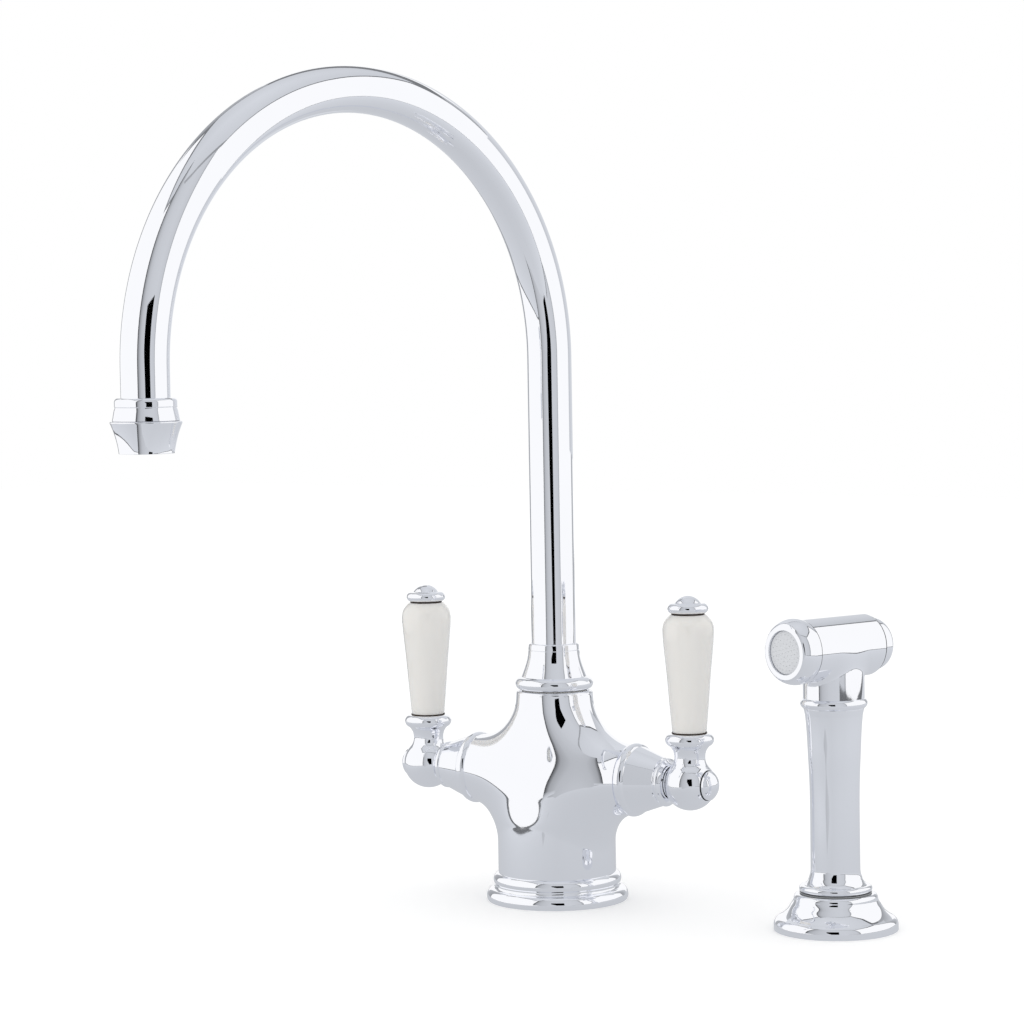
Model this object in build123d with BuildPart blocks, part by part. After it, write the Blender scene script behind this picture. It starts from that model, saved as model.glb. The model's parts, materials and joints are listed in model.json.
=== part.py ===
from build123d import *
import os
from math import cos, radians, sin

# Two-lever kitchen tap with a swivelling arched spout, and a separate spray that stands beside it.
# Millimetres. The origin is on the worktop, on the upright axis of the tap. +Z is up, +X runs
# through the right-hand lever towards the spray, and -Y faces the person at the sink.
# Along an arm, a distance is measured outward from the tap's axis; along the spray head it is
# measured forward from the handset's axis; heights are from the worktop unless said otherwise.

# ---- layout ----
total_height = 390.0        # worktop to the top of the arch
spout_reach = 242.0         # tap axis to outlet axis
spout_turn = 10.3           # degrees from straight ahead towards -X, as the spout rests
lever_offset = 75.0         # tap axis to each lever
arm_height = 60.2           # worktop to the axis of the arms
spray_offset = 151.0        # tap axis to spray axis
spray_turn = 17.0           # degrees from straight ahead towards -X that the spray head faces

# ---- clearances ----
fit = 0.05                  # radial clearance of a running or push fit
gap = 0.3                   # between moving pieces that aren't a fit
face_gap = 0.1              # between flat faces that turn on each other

# ---- deck flange and gasket ----
flange_radius = 33.8
flange_ledge = 6.1          # where the lower step ends
flange_height = 13.3        # the barrel stands here
flange_bead_radius = 30.5
gasket_thickness = 2.0
gasket_hole_margin = 1.0    # its holes are this much larger than the threads above them
gasket_outer = 30.0

# ---- body casting ----
barrel_radius = 28.1
spigot_radius = 26.0        # goes down inside the deck flange
shoulder_height = 42.0      # where the barrel starts to draw in
neck_radius = 18.3
neck_top = 100.4
neck_edge = 1.4
waist_radius = 23.4         # half-way down the drawn-in part
waist_height = 71.0
arm_radius = 16.2
arm_end = 42.4
junction_radius = 19.0      # blend of the arms into the body
seat_distance = 24.5        # bottom of the valve bore in each arm
valve_bore = 10.05
chamber_radius = 9.0
chamber_drop = 9.2          # arm axis down to the floor of the mixing chamber
ledge_drop = 3.2            # arm axis down to the ledge that the diverter stands on
cage_ledge_bore = 7.5
socket_radius = 12.0        # the spout bush turns in it
socket_floor = 84.0
water_passage = 3.5
valve_port = 2.5
port_offset = 4.6           # inlet and outlet port, below and above the arm axis
inlet_offset = 15.5
tail_thread_radius = 4.5    # tapping size of an M10 x 1 thread
tail_thread_depth = 12.0
outlet_offset = 13.0        # spray hose outlet, towards the back
stud_offset = 13.0          # fixing stud, towards the front
stud_thread_radius = 3.4    # tapping size of an M8 thread
stud_thread_depth = 16.0

# ---- valves in the arms ----
seal_thickness = 1.4
disc_thickness = 2.5
disc_radius = 8.0
disc_cavity = 8.3
valve_collar_radius = 12.8
valve_collar_length = 4.0
nose_radius = 9.0
nose_length = 11.6
spindle_radius = 4.5
spindle_flange_radius = 7.6
spindle_flange = 0.5
tip_radius = 3.9
tip_start = 60.0
tip_end = 74.6

# ---- bonnets ----
bonnet_end = 64.6
bonnet_bead_radius = 17.3
bonnet_bead_width = 5.4
bonnet_cone_large = 15.7
bonnet_cone_small = 11.2
bonnet_cone_length = 12.8
bonnet_lip_radius = 11.3
recess_radius = 7.6
recess_depth = 6.4

# ---- levers, heights from the arm axis ----
ball_radius = 12.15
ball_shoulder = 7.9         # height where the ball flows into the neck
lever_neck_radius = 7.2
lever_neck_height = 12.8
lever_ring_radius = 11.35
lever_ring_bottom = 18.0
hub_top = 23.8
inner_flat = 9.0            # lever axis to the flat that faces the bonnet
outer_flat = 9.6            # lever axis to the flat under the cap
boss_end = 62.0
screw_head_radius = 4.2
screw_head_height = 3.0
screw_radius = 2.0
screw_length = 11.0
counterbore_radius = 4.8
counterbore_depth = 6.6
cap_radius = 6.8
cap_rim = 1.4
cap_height = 4.7
washer_thickness = 0.6
washer_radius = 8.2
top_washer_radius = 7.7
rod_radius = 2.5
rod_start = 13.2
porcelain_height = 54.6
porcelain_foot_radius = 7.95
porcelain_belly_radius = 11.9
porcelain_belly_height = 47.0
porcelain_bore = 3.2
finial_height = 8.1
finial_radius = 9.5
finial_base_radius = 7.6
finial_dome_radius = 5.8

# ---- spout ----
tube_radius = 10.5
tube_wall = 1.2
tube_seat = 2.6             # height of the tube's lower end above the neck
shroud_bead_radius = 18.55
shroud_bead_height = 6.0
shroud_height = 21.9
shroud_top_radius = 11.9
bush_spigot_length = 10.0
bush_bore = 7.2
oring_section = 1.5
oring_pitch = 4.0
grub_radius = 2.0
grub_height = 88.5
grub_groove = 5.0
thrust_washer_thickness = 0.4

# ---- outlet, heights from the underside of the outlet ----
outlet_drop = 35.6          # end of the arch's curve down to the underside of the outlet
outlet_radius = 11.6
outlet_lip_radius = 15.25
outlet_lip_height = 12.9
outlet_joint = 13.7         # where the aerator housing meets the collar
outlet_ring_height = 19.4
outlet_ring_radius = 13.25
outlet_top = 23.3
outlet_thread_radius = 11.5
thread_length = 4.3
outlet_seal_thickness = 0.6
aerator_radius = 9.85
aerator_lip = 9.0
aerator_floor = 2.1
aerator_height = 15.0
mesh_thickness = 3.0
mesh_hole_radius = 0.95
mesh_pitch = 2.6

# ---- diverter in the chamber of the body ----
cage_radius = 8.95
cage_bore = 7.6
cage_web = 2.0
cage_orifice = 5.0
cage_seat_rise = 15.8       # arm axis up to the seat that the plunger closes against
stem_radius = 2.4
plunger_collar_radius = 4.0
plunger_disc_radius = 6.8
plunger_disc_rise = 7.8     # arm axis up to the underside of the plunger's disc
plunger_disc_height = 2.5
plunger_washer_radius = 6.4
plunger_washer_height = 1.8

# ---- spray holder on the worktop ----
holder_radius = 28.0
holder_edge = 3.4
holder_top = 16.6
holder_top_radius = 17.6
holder_gasket_inner = 19.0
holder_gasket_outer = 25.0
holder_gasket_thickness = 1.5
liner_radius = 14.0
liner_wall = 1.4
liner_flange_radius = 16.2
liner_flange = 0.5
liner_bottom = 5.0

# ---- spray handset ----
foot_ring_radius = 16.4
foot_ring_height = 3.1
foot_spigot_bottom = 3.0
foot_plug_length = 6.0      # goes up into the grip
hose_inlet_radius = 8.0
hose_inlet_bottom = 1.0
hose_inlet_top = 15.0
hose_inlet_bore = 4.0
grip_bore = 9.2
grip_waist_radius = 11.1
grip_waist_height = 54.0
grip_foot_radius = 14.2
grip_top_radius = 13.0
grip_top = 100.4
grip_collar_height = 4.4
grip_collar_radius = 15.1
head_rise = 22.5            # top of the grip's collar to the axis of the head
head_radius = 13.9
head_stub_radius = 13.8
head_half_length = 20.4
head_bore = 12.2
head_edge = 1.2
head_spigot_length = 14.0   # goes down through the collar into the grip
head_spigot_bore = 6.0
stub_blend = 2.5
water_tube_radius = 4.5
water_tube_wall = 0.8
water_tube_entry = 3.0
bezel_radius = 14.8
bezel_rear_radius = 14.1
bezel_length = 9.9
bezel_face_radius = 12.6
bezel_spigot = 7.0
bezel_spigot_bore = 10.4
face_radius = 9.85
face_front = 29.5
face_lip_depth = 2.0
face_flange = 1.5
face_hole_radius = 0.5
face_hole_pitch = 2.2

# ---- spray valve and button ----
valve_rear = -6.0
valve_front = 10.0
valve_chamber_radius = 6.0
valve_chamber_rear = -1.5
valve_chamber_front = 8.0
valve_orifice = 4.0
valve_stem_radius = 2.5
valve_seal_radius = 6.0
valve_seal_thickness = 1.8
stem_nut_radius = 4.0
stem_nut_height = 1.4
button_radius = 11.9
button_end = 29.0           # behind the handset's axis
button_round = 5.0
button_web = 5.0
button_skirt_end = 14.0
button_skirt_bore = 9.4
button_boss_radius = 4.5
button_boss_end = 17.0
button_socket = 4.0
button_travel = 3.0
spring_inner = 5.4
spring_outer = 7.0

# ---- values that follow from the sizes above ----
arch_radius = spout_reach / 2
arch_height = total_height - tube_radius - arch_radius
outlet_height = arch_height - outlet_drop
spout_way = (-sin(radians(spout_turn)), -cos(radians(spout_turn)), 0)
spray_way = (-sin(radians(spray_turn)), -cos(radians(spray_turn)), 0)
outlet_centre = (spout_reach * spout_way[0], spout_reach * spout_way[1])
shroud_bottom = neck_top + thrust_washer_thickness + face_gap
tube_start = neck_top + tube_seat
chamber_floor = arm_height - chamber_drop
cage_ledge = arm_height - ledge_drop
cage_seat = arm_height + cage_seat_rise
plunger_disc_bottom = arm_height + plunger_disc_rise
bush_radius = socket_radius - fit
thread_top = outlet_joint + thread_length
tube_end = outlet_height + thread_top + outlet_seal_thickness
bonnet_seat = arm_end + valve_collar_length
foot_bottom = holder_top + 2 * face_gap + liner_flange
foot_top = foot_bottom + foot_ring_height
head_bottom = grip_top + grip_collar_height
head_height = head_bottom + head_rise
spray_base = (spray_offset, 0, 0)
head_centre = (spray_offset, 0, head_height)

FROM_BELOW = (Align.CENTER, Align.CENTER, Align.MIN)
SIDES = (("left", -1), ("right", 1))


def round_bar(radius, start, end, mode=Mode.ADD):
    """Cylinder about the Z axis of the part's plane, from start to end along that axis."""
    with Locations((0, 0, start)):
        Cylinder(radius, end - start, align=FROM_BELOW, mode=mode)


def bore(radius, start, end):
    """Round hole about the Z axis of the part's plane, from start to end along that axis."""
    round_bar(radius, start, end, mode=Mode.SUBTRACT)


def bar_plane(origin, way):
    """Plane whose Z axis runs along a level way and whose X axis points up."""
    return Plane(origin=origin, x_dir=(0, 0, 1), z_dir=way)


def section_plane(origin, way):
    """Upright plane whose local X axis runs along a level way and whose local Y axis points up."""
    return Plane(origin=origin, x_dir=way, z_dir=(way[1], -way[0], 0))


def hole_rings(radius, pitch, ring_count, start, end):
    """Round holes in rings of 6, 12, 18 and so on about one in the middle."""
    bore(radius, start, end)
    for ring in range(1, ring_count + 1):
        with PolarLocations(ring * pitch, 6 * ring):
            with Locations((0, 0, start)):
                Cylinder(radius, end - start, align=FROM_BELOW, mode=Mode.SUBTRACT)


def save(builder, name):
    """Label one finished piece and write it to its own file."""
    builder.part.label = name
    export_step(builder.part, f"parts/{name}.step")


os.makedirs("parts", exist_ok=True)
deck_plane = section_plane((0, 0, 0), (1, 0, 0))

# ======== tap: deck flange, gasket and body ========

# Turned flange: a rounded lower step, a cove and a bead that carries the barrel.
with BuildPart() as base_flange:
    with BuildSketch(deck_plane):
        with BuildLine():
            inner = spigot_radius + face_gap
            under = gasket_outer + fit
            Polyline((inner, flange_height), (inner, gasket_thickness), (under, gasket_thickness),
                     (under, 0), (flange_radius - 0.6, 0))
            ThreePointArc((flange_radius - 0.6, 0), (flange_radius, 2.0), (flange_radius - 0.6, 4.3))
            ThreePointArc((flange_radius - 0.6, 4.3), (flange_radius - 1.6, 5.5),
                          (flange_bead_radius + 0.1, flange_ledge))
            ThreePointArc((flange_bead_radius + 0.1, flange_ledge), (flange_bead_radius - 0.6, 7.2),
                          (flange_bead_radius - 0.4, 8.2))
            ThreePointArc((flange_bead_radius - 0.4, 8.2), (flange_bead_radius - 0.1, 10.9),
                          (barrel_radius, flange_height))
            Line((barrel_radius, flange_height), (inner, flange_height))
        make_face()
    revolve(axis=Axis.Z)
save(base_flange, "base_flange")

# Flat rubber disc under the flange and the body, with holes for the stud and the three tails.
with BuildPart() as base_gasket:
    round_bar(gasket_outer, 0, gasket_thickness)
    with Locations((-inlet_offset, 0, 0), (inlet_offset, 0, 0), (0, outlet_offset, 0)):
        bore(tail_thread_radius + gasket_hole_margin, 0, gasket_thickness)
    with Locations((0, -stud_offset, 0)):
        bore(stud_thread_radius + gasket_hole_margin, 0, gasket_thickness)
save(base_gasket, "base_gasket")

# Cast body: barrel, drawn-in shoulder and neck, with two level arms blended in.
with BuildPart() as body:
    with BuildSketch(section_plane((0, 0, 0), (0, 1, 0))):
        with BuildLine():
            Polyline((0, neck_top), (0, gasket_thickness), (spigot_radius, gasket_thickness),
                     (spigot_radius, flange_height), (barrel_radius, flange_height),
                     (barrel_radius, shoulder_height))
            Spline((barrel_radius, shoulder_height), (waist_radius, waist_height),
                   (neck_radius, neck_top - neck_edge), tangents=((0, 1), (-0.05, 1)))
            RadiusArc((neck_radius, neck_top - neck_edge), (neck_radius - neck_edge, neck_top),
                      -neck_edge)
            Line((neck_radius - neck_edge, neck_top), (0, neck_top))
        make_face()
    revolve(axis=Axis.Z)
    # the arms are blended in at a greater length, because the blend runs past their ends
    arm_blank = barrel_radius + 2 * junction_radius
    with Locations(Location((0, 0, arm_height), (0, 90, 0))):
        Cylinder(arm_radius, 2 * arm_blank)
    arm_joints = body.edges().filter_by(GeomType.BSPLINE).filter_by(
        lambda edge: abs(edge.center().X) > neck_radius / 2)
    fillet(arm_joints, junction_radius)
    for side, sign in SIDES:
        split(bisect_by=bar_plane((0, 0, arm_height), (sign, 0, 0)).offset(arm_end),
              keep=Keep.BOTTOM)
    # mixing chamber, ledge for the diverter and socket for the spout bush
    bore(cage_ledge_bore, chamber_floor, cage_ledge)
    bore(chamber_radius, cage_ledge, socket_floor)
    bore(socket_radius, socket_floor, neck_top)
    # inlet passages, one under each arm
    with Locations((-inlet_offset, 0, 0), (inlet_offset, 0, 0)):
        bore(water_passage, gasket_thickness, arm_height - port_offset + water_passage / 2)
        bore(tail_thread_radius, gasket_thickness, gasket_thickness + tail_thread_depth)
    # outlet to the spray hose, towards the back, and fixing stud, towards the front
    spray_port_height = (chamber_floor + cage_ledge) / 2
    with Locations((0, outlet_offset, 0)):
        bore(water_passage, gasket_thickness, spray_port_height + water_passage)
        bore(tail_thread_radius, gasket_thickness, gasket_thickness + tail_thread_depth)
    with Locations(Location((0, 0, spray_port_height), (-90, 0, 0))):
        Cylinder(valve_port, outlet_offset, align=FROM_BELOW, mode=Mode.SUBTRACT)
    with Locations((0, -stud_offset, 0)):
        bore(stud_thread_radius, gasket_thickness, gasket_thickness + stud_thread_depth)
    # valve bores and their ports
    for side, sign in SIDES:
        outward = bar_plane((0, 0, arm_height), (sign, 0, 0))
        with Locations(outward.location):
            bore(valve_bore, seat_distance, arm_end)
            with Locations((port_offset, 0, 0)):
                bore(valve_port, 0, seat_distance)
            with Locations((-port_offset, 0, 0)):
                bore(valve_port, inlet_offset, seat_distance)
    # tapped hole for the grub screw that keeps the spout in
    with Locations(Location((0, 0, grub_height), (-90, 0, 0))):
        Cylinder(grub_radius, barrel_radius, align=FROM_BELOW, mode=Mode.SUBTRACT)
save(body, "body")

# ======== tap: the two arms with their valves and levers ========

for side, sign in SIDES:
    way = (sign, 0, 0)
    arm_axis = Axis((0, 0, arm_height), way)
    outward = bar_plane((0, 0, arm_height), way)
    arm_section = section_plane((0, 0, arm_height), way)
    lever_section = section_plane((sign * lever_offset, 0, arm_height), way)
    lever_axis = Axis((sign * lever_offset, 0, arm_height), (0, 0, 1))
    lever_foot = Plane((sign * lever_offset, 0, arm_height))

    # Rubber seat between the bottom of the bore and the fixed disc, with its two ports.
    seal_end = seat_distance + seal_thickness
    with BuildPart(outward) as seat_seal:
        round_bar(disc_radius + gap / 2, seat_distance, seal_end)
        with Locations((port_offset, 0, 0), (-port_offset, 0, 0)):
            bore(valve_port, seat_distance, seal_end)
    save(seat_seal, f"{side}_seat_seal")

    # Ceramic disc that stays in the valve body.
    fixed_end = seal_end + disc_thickness
    with BuildPart(outward) as fixed_disc:
        round_bar(disc_radius + gap / 2, seal_end, fixed_end)
        with Locations((port_offset, 0, 0), (-port_offset, 0, 0)):
            bore(valve_port, seal_end, fixed_end)
    save(fixed_disc, f"{side}_fixed_disc")

    # Ceramic disc that turns with the spindle and opens or closes the ports.
    moving_start = fixed_end + fit
    moving_end = moving_start + disc_thickness
    with BuildPart(outward) as moving_disc:
        round_bar(disc_radius, moving_start, moving_end)
        with Locations((0, port_offset, 0)):
            bore(valve_port, moving_start, moving_end)
    save(moving_disc, f"{side}_moving_disc")

    # Brass valve body, screwed into the arm, with a hexagon against the arm's end.
    nose_end = bonnet_seat + nose_length
    flange_end = moving_end + spindle_flange
    with BuildPart(outward) as valve_body:
        round_bar(valve_bore - fit, seal_end - gap, arm_end)
        with BuildSketch(outward.offset(arm_end)):
            RegularPolygon(valve_collar_radius, 6)
        extrude(amount=valve_collar_length)
        round_bar(nose_radius, bonnet_seat, nose_end)
        bore(spindle_radius + fit, seal_end - gap, nose_end)
        bore(disc_cavity, seal_end - gap, flange_end + face_gap)
    save(valve_body, f"{side}_valve_body")

    # Spindle: flange behind the moving disc, round shank, and a tip that the hub is fixed on.
    with BuildPart(outward) as spindle:
        round_bar(spindle_flange_radius, moving_end, flange_end)
        round_bar(spindle_radius, flange_end, tip_start)
        round_bar(tip_radius, tip_start, tip_end)
        screw_end = lever_offset + outer_flat - counterbore_depth
        bore(screw_radius, screw_end - screw_length, tip_end)
    save(spindle, f"{side}_spindle")

    # Bonnet: a bead against the arm, a cone and a rolled lip around the hub's boss.
    with BuildPart() as bonnet:
        with BuildSketch(arm_section):
            with BuildLine():
                bead_end = arm_end + bonnet_bead_width
                cone_end = bead_end + bonnet_cone_length
                groove = bonnet_cone_small - 0.6
                ThreePointArc((arm_end, arm_radius - 0.4),
                              (arm_end + bonnet_bead_width / 2, bonnet_bead_radius),
                              (bead_end, bonnet_cone_large))
                Polyline((bead_end, bonnet_cone_large), (cone_end, bonnet_cone_small),
                         (cone_end + 0.4, groove), (cone_end + 0.8, groove))
                ThreePointArc((cone_end + 0.8, groove), (cone_end + 2.0, bonnet_lip_radius),
                              (cone_end + 3.1, groove))
                Polyline((cone_end + 3.1, groove), (bonnet_end, groove - 0.9),
                         (bonnet_end, recess_radius), (bonnet_end - recess_depth, recess_radius),
                         (bonnet_end - recess_depth, nose_radius + fit),
                         (bonnet_seat + face_gap, nose_radius + fit),
                         (bonnet_seat + face_gap, valve_collar_radius + gap),
                         (arm_end, valve_collar_radius + gap), (arm_end, arm_radius - 0.4))
            make_face()
        revolve(axis=arm_axis)
    save(bonnet, f"{side}_bonnet")

    # Lever hub in one turning: a ball with two flats, a waisted neck and a ring, and a boss that
    # enters the bonnet.
    with BuildPart(outward) as hub:
        with BuildSketch(lever_section):
            with BuildLine():
                shoulder = (ball_radius ** 2 - ball_shoulder ** 2) ** 0.5
                Line((0, lever_neck_height), (0, -ball_radius))
                ThreePointArc((0, -ball_radius), (ball_radius, 0), (shoulder, ball_shoulder))
                ThreePointArc((shoulder, ball_shoulder), (lever_neck_radius + 0.55, 10.1),
                              (lever_neck_radius, lever_neck_height))
                Line((lever_neck_radius, lever_neck_height), (0, lever_neck_height))
            make_face()
        revolve(axis=lever_axis)
        split(bisect_by=outward.offset(lever_offset - inner_flat), keep=Keep.TOP)
        split(bisect_by=outward.offset(lever_offset + outer_flat), keep=Keep.BOTTOM)
        with BuildSketch(lever_section):
            with BuildLine():
                ring_waist = lever_ring_radius - 1.9
                Polyline((ring_waist, hub_top), (0, hub_top), (0, lever_neck_height),
                         (lever_neck_radius, lever_neck_height))
                ThreePointArc((lever_neck_radius, lever_neck_height),
                              (lever_neck_radius + 0.55, 15.7), (ring_waist, lever_ring_bottom))
                ThreePointArc((ring_waist, lever_ring_bottom),
                              (lever_ring_radius, (lever_ring_bottom + hub_top) / 2),
                              (ring_waist, hub_top))
            make_face()
        revolve(axis=lever_axis)
        round_bar(recess_radius - gap, boss_end, lever_offset)
        bore(tip_radius + fit, boss_end, lever_offset)
        bore(screw_radius + fit, lever_offset, screw_end)
        bore(counterbore_radius, screw_end, lever_offset + outer_flat)
        with Locations(Location((rod_start, 0, lever_offset), (0, 90, 0))):
            Cylinder(rod_radius, hub_top - rod_start, align=FROM_BELOW, mode=Mode.SUBTRACT)
    save(hub, f"{side}_hub")

    # Socket-head screw that draws the hub onto the spindle.
    with BuildPart(outward) as hub_screw:
        round_bar(screw_head_radius, screw_end, screw_end + screw_head_height)
        round_bar(screw_radius, screw_end - screw_length + gap, screw_end)
        with BuildSketch(outward.offset(screw_end + screw_head_height)):
            RegularPolygon(screw_head_radius / 2, 6)
        extrude(amount=-screw_head_height / 2, mode=Mode.SUBTRACT)
    save(hub_screw, f"{side}_hub_screw")

    # Domed cap that closes the counterbore, with a plug behind its rim.
    cap_seat = lever_offset + outer_flat
    with BuildPart(outward) as index_cap:
        with BuildSketch(arm_section):
            with BuildLine():
                Polyline((cap_seat + cap_height, 0), (screw_end + screw_head_height + gap, 0),
                         (screw_end + screw_head_height + gap, counterbore_radius - fit),
                         (cap_seat, counterbore_radius - fit), (cap_seat, cap_radius),
                         (cap_seat + cap_rim, cap_radius))
                TangentArc((cap_seat + cap_height, 0), (cap_seat + cap_rim, cap_radius),
                           tangent=(0, 1))
            make_face()
        revolve(axis=arm_axis)
    save(index_cap, f"{side}_index_cap")

    # Threaded rod that ties the hub, the porcelain and the finial together.
    porcelain_foot = hub_top + washer_thickness
    porcelain_top = porcelain_foot + porcelain_height
    finial_foot = porcelain_top + washer_thickness
    rod_end = finial_foot + finial_height / 2
    with BuildPart(lever_foot) as lever_rod:
        round_bar(rod_radius, rod_start + gap, rod_end - gap)
    save(lever_rod, f"{side}_lever_rod")

    # Fibre washers below and above the porcelain.
    with BuildPart(lever_foot) as lever_washers:
        round_bar(washer_radius, hub_top, porcelain_foot)
        round_bar(top_washer_radius, porcelain_top, finial_foot)
        bore(rod_radius + fit, hub_top, finial_foot)
    save(lever_washers, f"{side}_lever_washers")

    # Porcelain grip, drilled for the rod: slender at the foot, widest near its rounded top.
    with BuildPart() as porcelain:
        with BuildSketch(lever_section):
            with BuildLine():
                belly = (porcelain_belly_radius, porcelain_foot + porcelain_belly_height)
                foot = (porcelain_foot_radius, porcelain_foot)
                crown = (top_washer_radius + 0.4, porcelain_top)
                Polyline(crown, (porcelain_bore, porcelain_top), (porcelain_bore, porcelain_foot),
                         foot)
                Spline(foot, (porcelain_foot_radius + 1.55, porcelain_foot + porcelain_height / 3),
                       (porcelain_foot_radius + 3.1, porcelain_foot + porcelain_height * 0.66),
                       belly, crown,
                       tangents=((0.09, 1), (-1, 0.25)))
            make_face()
        revolve(axis=lever_axis)
    save(porcelain, f"{side}_porcelain")

    # Finial nut: a disc with a rolled edge under a low dome.
    with BuildPart(lever_foot) as finial:
        with BuildSketch(lever_section):
            with BuildLine():
                step_height = finial_foot + 0.57 * finial_height
                Polyline((0, finial_foot + finial_height), (0, finial_foot),
                         (finial_base_radius, finial_foot))
                ThreePointArc((finial_base_radius, finial_foot),
                              (finial_radius, finial_foot + 0.28 * finial_height),
                              (finial_dome_radius + 0.9, step_height))
                ThreePointArc((finial_dome_radius + 0.9, step_height),
                              (finial_dome_radius + 0.3, step_height + 0.15),
                              (finial_dome_radius, step_height + 0.5))
                TangentArc((0, finial_foot + finial_height),
                           (finial_dome_radius, step_height + 0.5), tangent=(1, 0))
            make_face()
        revolve(axis=lever_axis)
        bore(rod_radius, finial_foot, rod_end)
    save(finial, f"{side}_finial")

# ======== tap: diverter inside the body ========

# Turned cage on the ledge of the chamber, with windows for the mixed water and a seat above.
with BuildPart() as diverter_cage:
    round_bar(cage_radius, cage_ledge, socket_floor)
    bore(cage_bore, cage_ledge + cage_web, cage_seat)
    bore(cage_orifice, cage_seat, socket_floor)
    bore(stem_radius + fit, cage_ledge, cage_ledge + cage_web)
    with PolarLocations((stem_radius + cage_ledge_bore) / 2, 6):
        bore(valve_port / 2, cage_ledge, cage_ledge + cage_web)
    with Locations(Location((0, 0, arm_height + port_offset), (0, 90, 0))):
        Cylinder(valve_port, 2 * cage_radius, mode=Mode.SUBTRACT)
save(diverter_cage, "diverter_cage")

# Plunger: a stem guided in the web of the cage, a stop collar and a disc.
plunger_top = plunger_disc_bottom + plunger_disc_height
with BuildPart() as diverter_plunger:
    round_bar(stem_radius, cage_ledge + gap, plunger_top)
    round_bar(plunger_collar_radius, cage_ledge + cage_web + face_gap,
              cage_ledge + 2 * cage_web)
    round_bar(plunger_disc_radius, plunger_disc_bottom, plunger_top)
save(diverter_plunger, "diverter_plunger")

# Rubber washer on the plunger, which closes the way to the spout while the spray runs.
with BuildPart() as diverter_washer:
    round_bar(plunger_washer_radius, plunger_top, plunger_top + plunger_washer_height)
save(diverter_washer, "diverter_washer")

# ======== tap: spout, which turns in the neck of the body ========

# Slippery washer between the neck and the shroud.
with BuildPart() as thrust_washer:
    round_bar(neck_radius - 2 * neck_edge, neck_top, neck_top + thrust_washer_thickness)
    bore(socket_radius + gap, neck_top, neck_top + thrust_washer_thickness)
save(thrust_washer, "thrust_washer")

# Brass bush soldered into the tube: it runs in the socket, has grooves for two O-rings and
# one for the grub screw that holds it down.
groove_radius = bush_radius - oring_section
first_oring = grub_height + grub_groove / 2 + oring_pitch / 2
oring_heights = (first_oring, first_oring + oring_pitch)
with BuildPart() as spout_bush:
    round_bar(bush_radius, socket_floor + gap, tube_start)
    round_bar(tube_radius - tube_wall - fit, tube_start, tube_start + bush_spigot_length)
    for height in oring_heights:
        with BuildSketch(Plane.XY.offset(height - oring_section * 0.6)):
            Circle(bush_radius)
            Circle(groove_radius, mode=Mode.SUBTRACT)
        extrude(amount=oring_section * 1.2, mode=Mode.SUBTRACT)
    with BuildSketch(Plane.XY.offset(grub_height - grub_groove / 2)):
        Circle(bush_radius)
        Circle(groove_radius, mode=Mode.SUBTRACT)
    extrude(amount=grub_groove, mode=Mode.SUBTRACT)
    bore(bush_bore, socket_floor + gap, tube_start + bush_spigot_length)
save(spout_bush, "spout_bush")

# The two O-rings in their grooves.
with BuildPart() as spout_orings:
    for height in oring_heights:
        with Locations((0, 0, height)):
            Torus(bush_radius - oring_section / 2, oring_section / 2)
save(spout_orings, "spout_orings")

# Grub screw at the back of the neck, with its tip in the groove of the bush.
with BuildPart() as spout_grub_screw:
    with Locations(Location((0, 0, grub_height), (-90, 0, 0))):
        with Locations((0, 0, groove_radius + gap)):
            Cylinder(grub_radius - fit, neck_radius - groove_radius - gap, align=FROM_BELOW)
        with Locations((0, 0, neck_radius - grub_radius)):
            with BuildSketch(Plane.XY, mode=Mode.PRIVATE) as hexagon:
                RegularPolygon(grub_radius / 2, 6)
            add(extrude(hexagon.sketch, amount=grub_radius, mode=Mode.PRIVATE),
                mode=Mode.SUBTRACT)
save(spout_grub_screw, "spout_grub_screw")

# Arched tube: a straight column, half a circle, and a short leg down into the outlet.
spout_section = section_plane((0, 0, 0), spout_way)
with BuildPart() as spout_tube:
    with BuildLine(spout_section) as spout_path:
        Line((0, tube_start), (0, arch_height))
        ThreePointArc((0, arch_height), (arch_radius, arch_height + arch_radius),
                      (spout_reach, arch_height))
        Line((spout_reach, arch_height), (spout_reach, tube_end))
    with BuildSketch(Plane.XY.offset(tube_start)):
        Circle(tube_radius)
        Circle(tube_radius - tube_wall, mode=Mode.SUBTRACT)
    sweep(path=spout_path.wires()[0])
save(spout_tube, "spout_tube")

# Shroud around the foot of the tube: a heavy bead below a concave cone.
with BuildPart() as spout_shroud:
    with BuildSketch(deck_plane):
        with BuildLine():
            bead_top = shroud_bottom + shroud_bead_height
            cone_foot = shroud_bead_radius - 2.9
            top = shroud_bottom + shroud_height
            ThreePointArc((shroud_bead_radius - 1.8, shroud_bottom),
                          (shroud_bead_radius, shroud_bottom + shroud_bead_height / 2),
                          (shroud_bead_radius - 2.2, bead_top - 0.2))
            Polyline((shroud_bead_radius - 2.2, bead_top - 0.2), (cone_foot, bead_top))
            Spline((cone_foot, bead_top), (shroud_top_radius + 1.2, bead_top + 7.4),
                   (shroud_top_radius + 0.2, bead_top + 13.0), tangents=((-0.42, 1), (-0.06, 1)))
            Line((shroud_top_radius + 0.2, bead_top + 13.0), (shroud_top_radius, top - 0.9))
            RadiusArc((shroud_top_radius, top - 0.9), (shroud_top_radius - 0.9, top), -0.9)
            Polyline((shroud_top_radius - 0.9, top), (tube_radius + fit, top),
                     (tube_radius + fit, tube_start), (bush_radius + fit, tube_start),
                     (bush_radius + fit, shroud_bottom), (shroud_bead_radius - 1.8, shroud_bottom))
        make_face()
    revolve(axis=Axis.Z)
save(spout_shroud, "spout_shroud")

# ======== spout outlet ========

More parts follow.
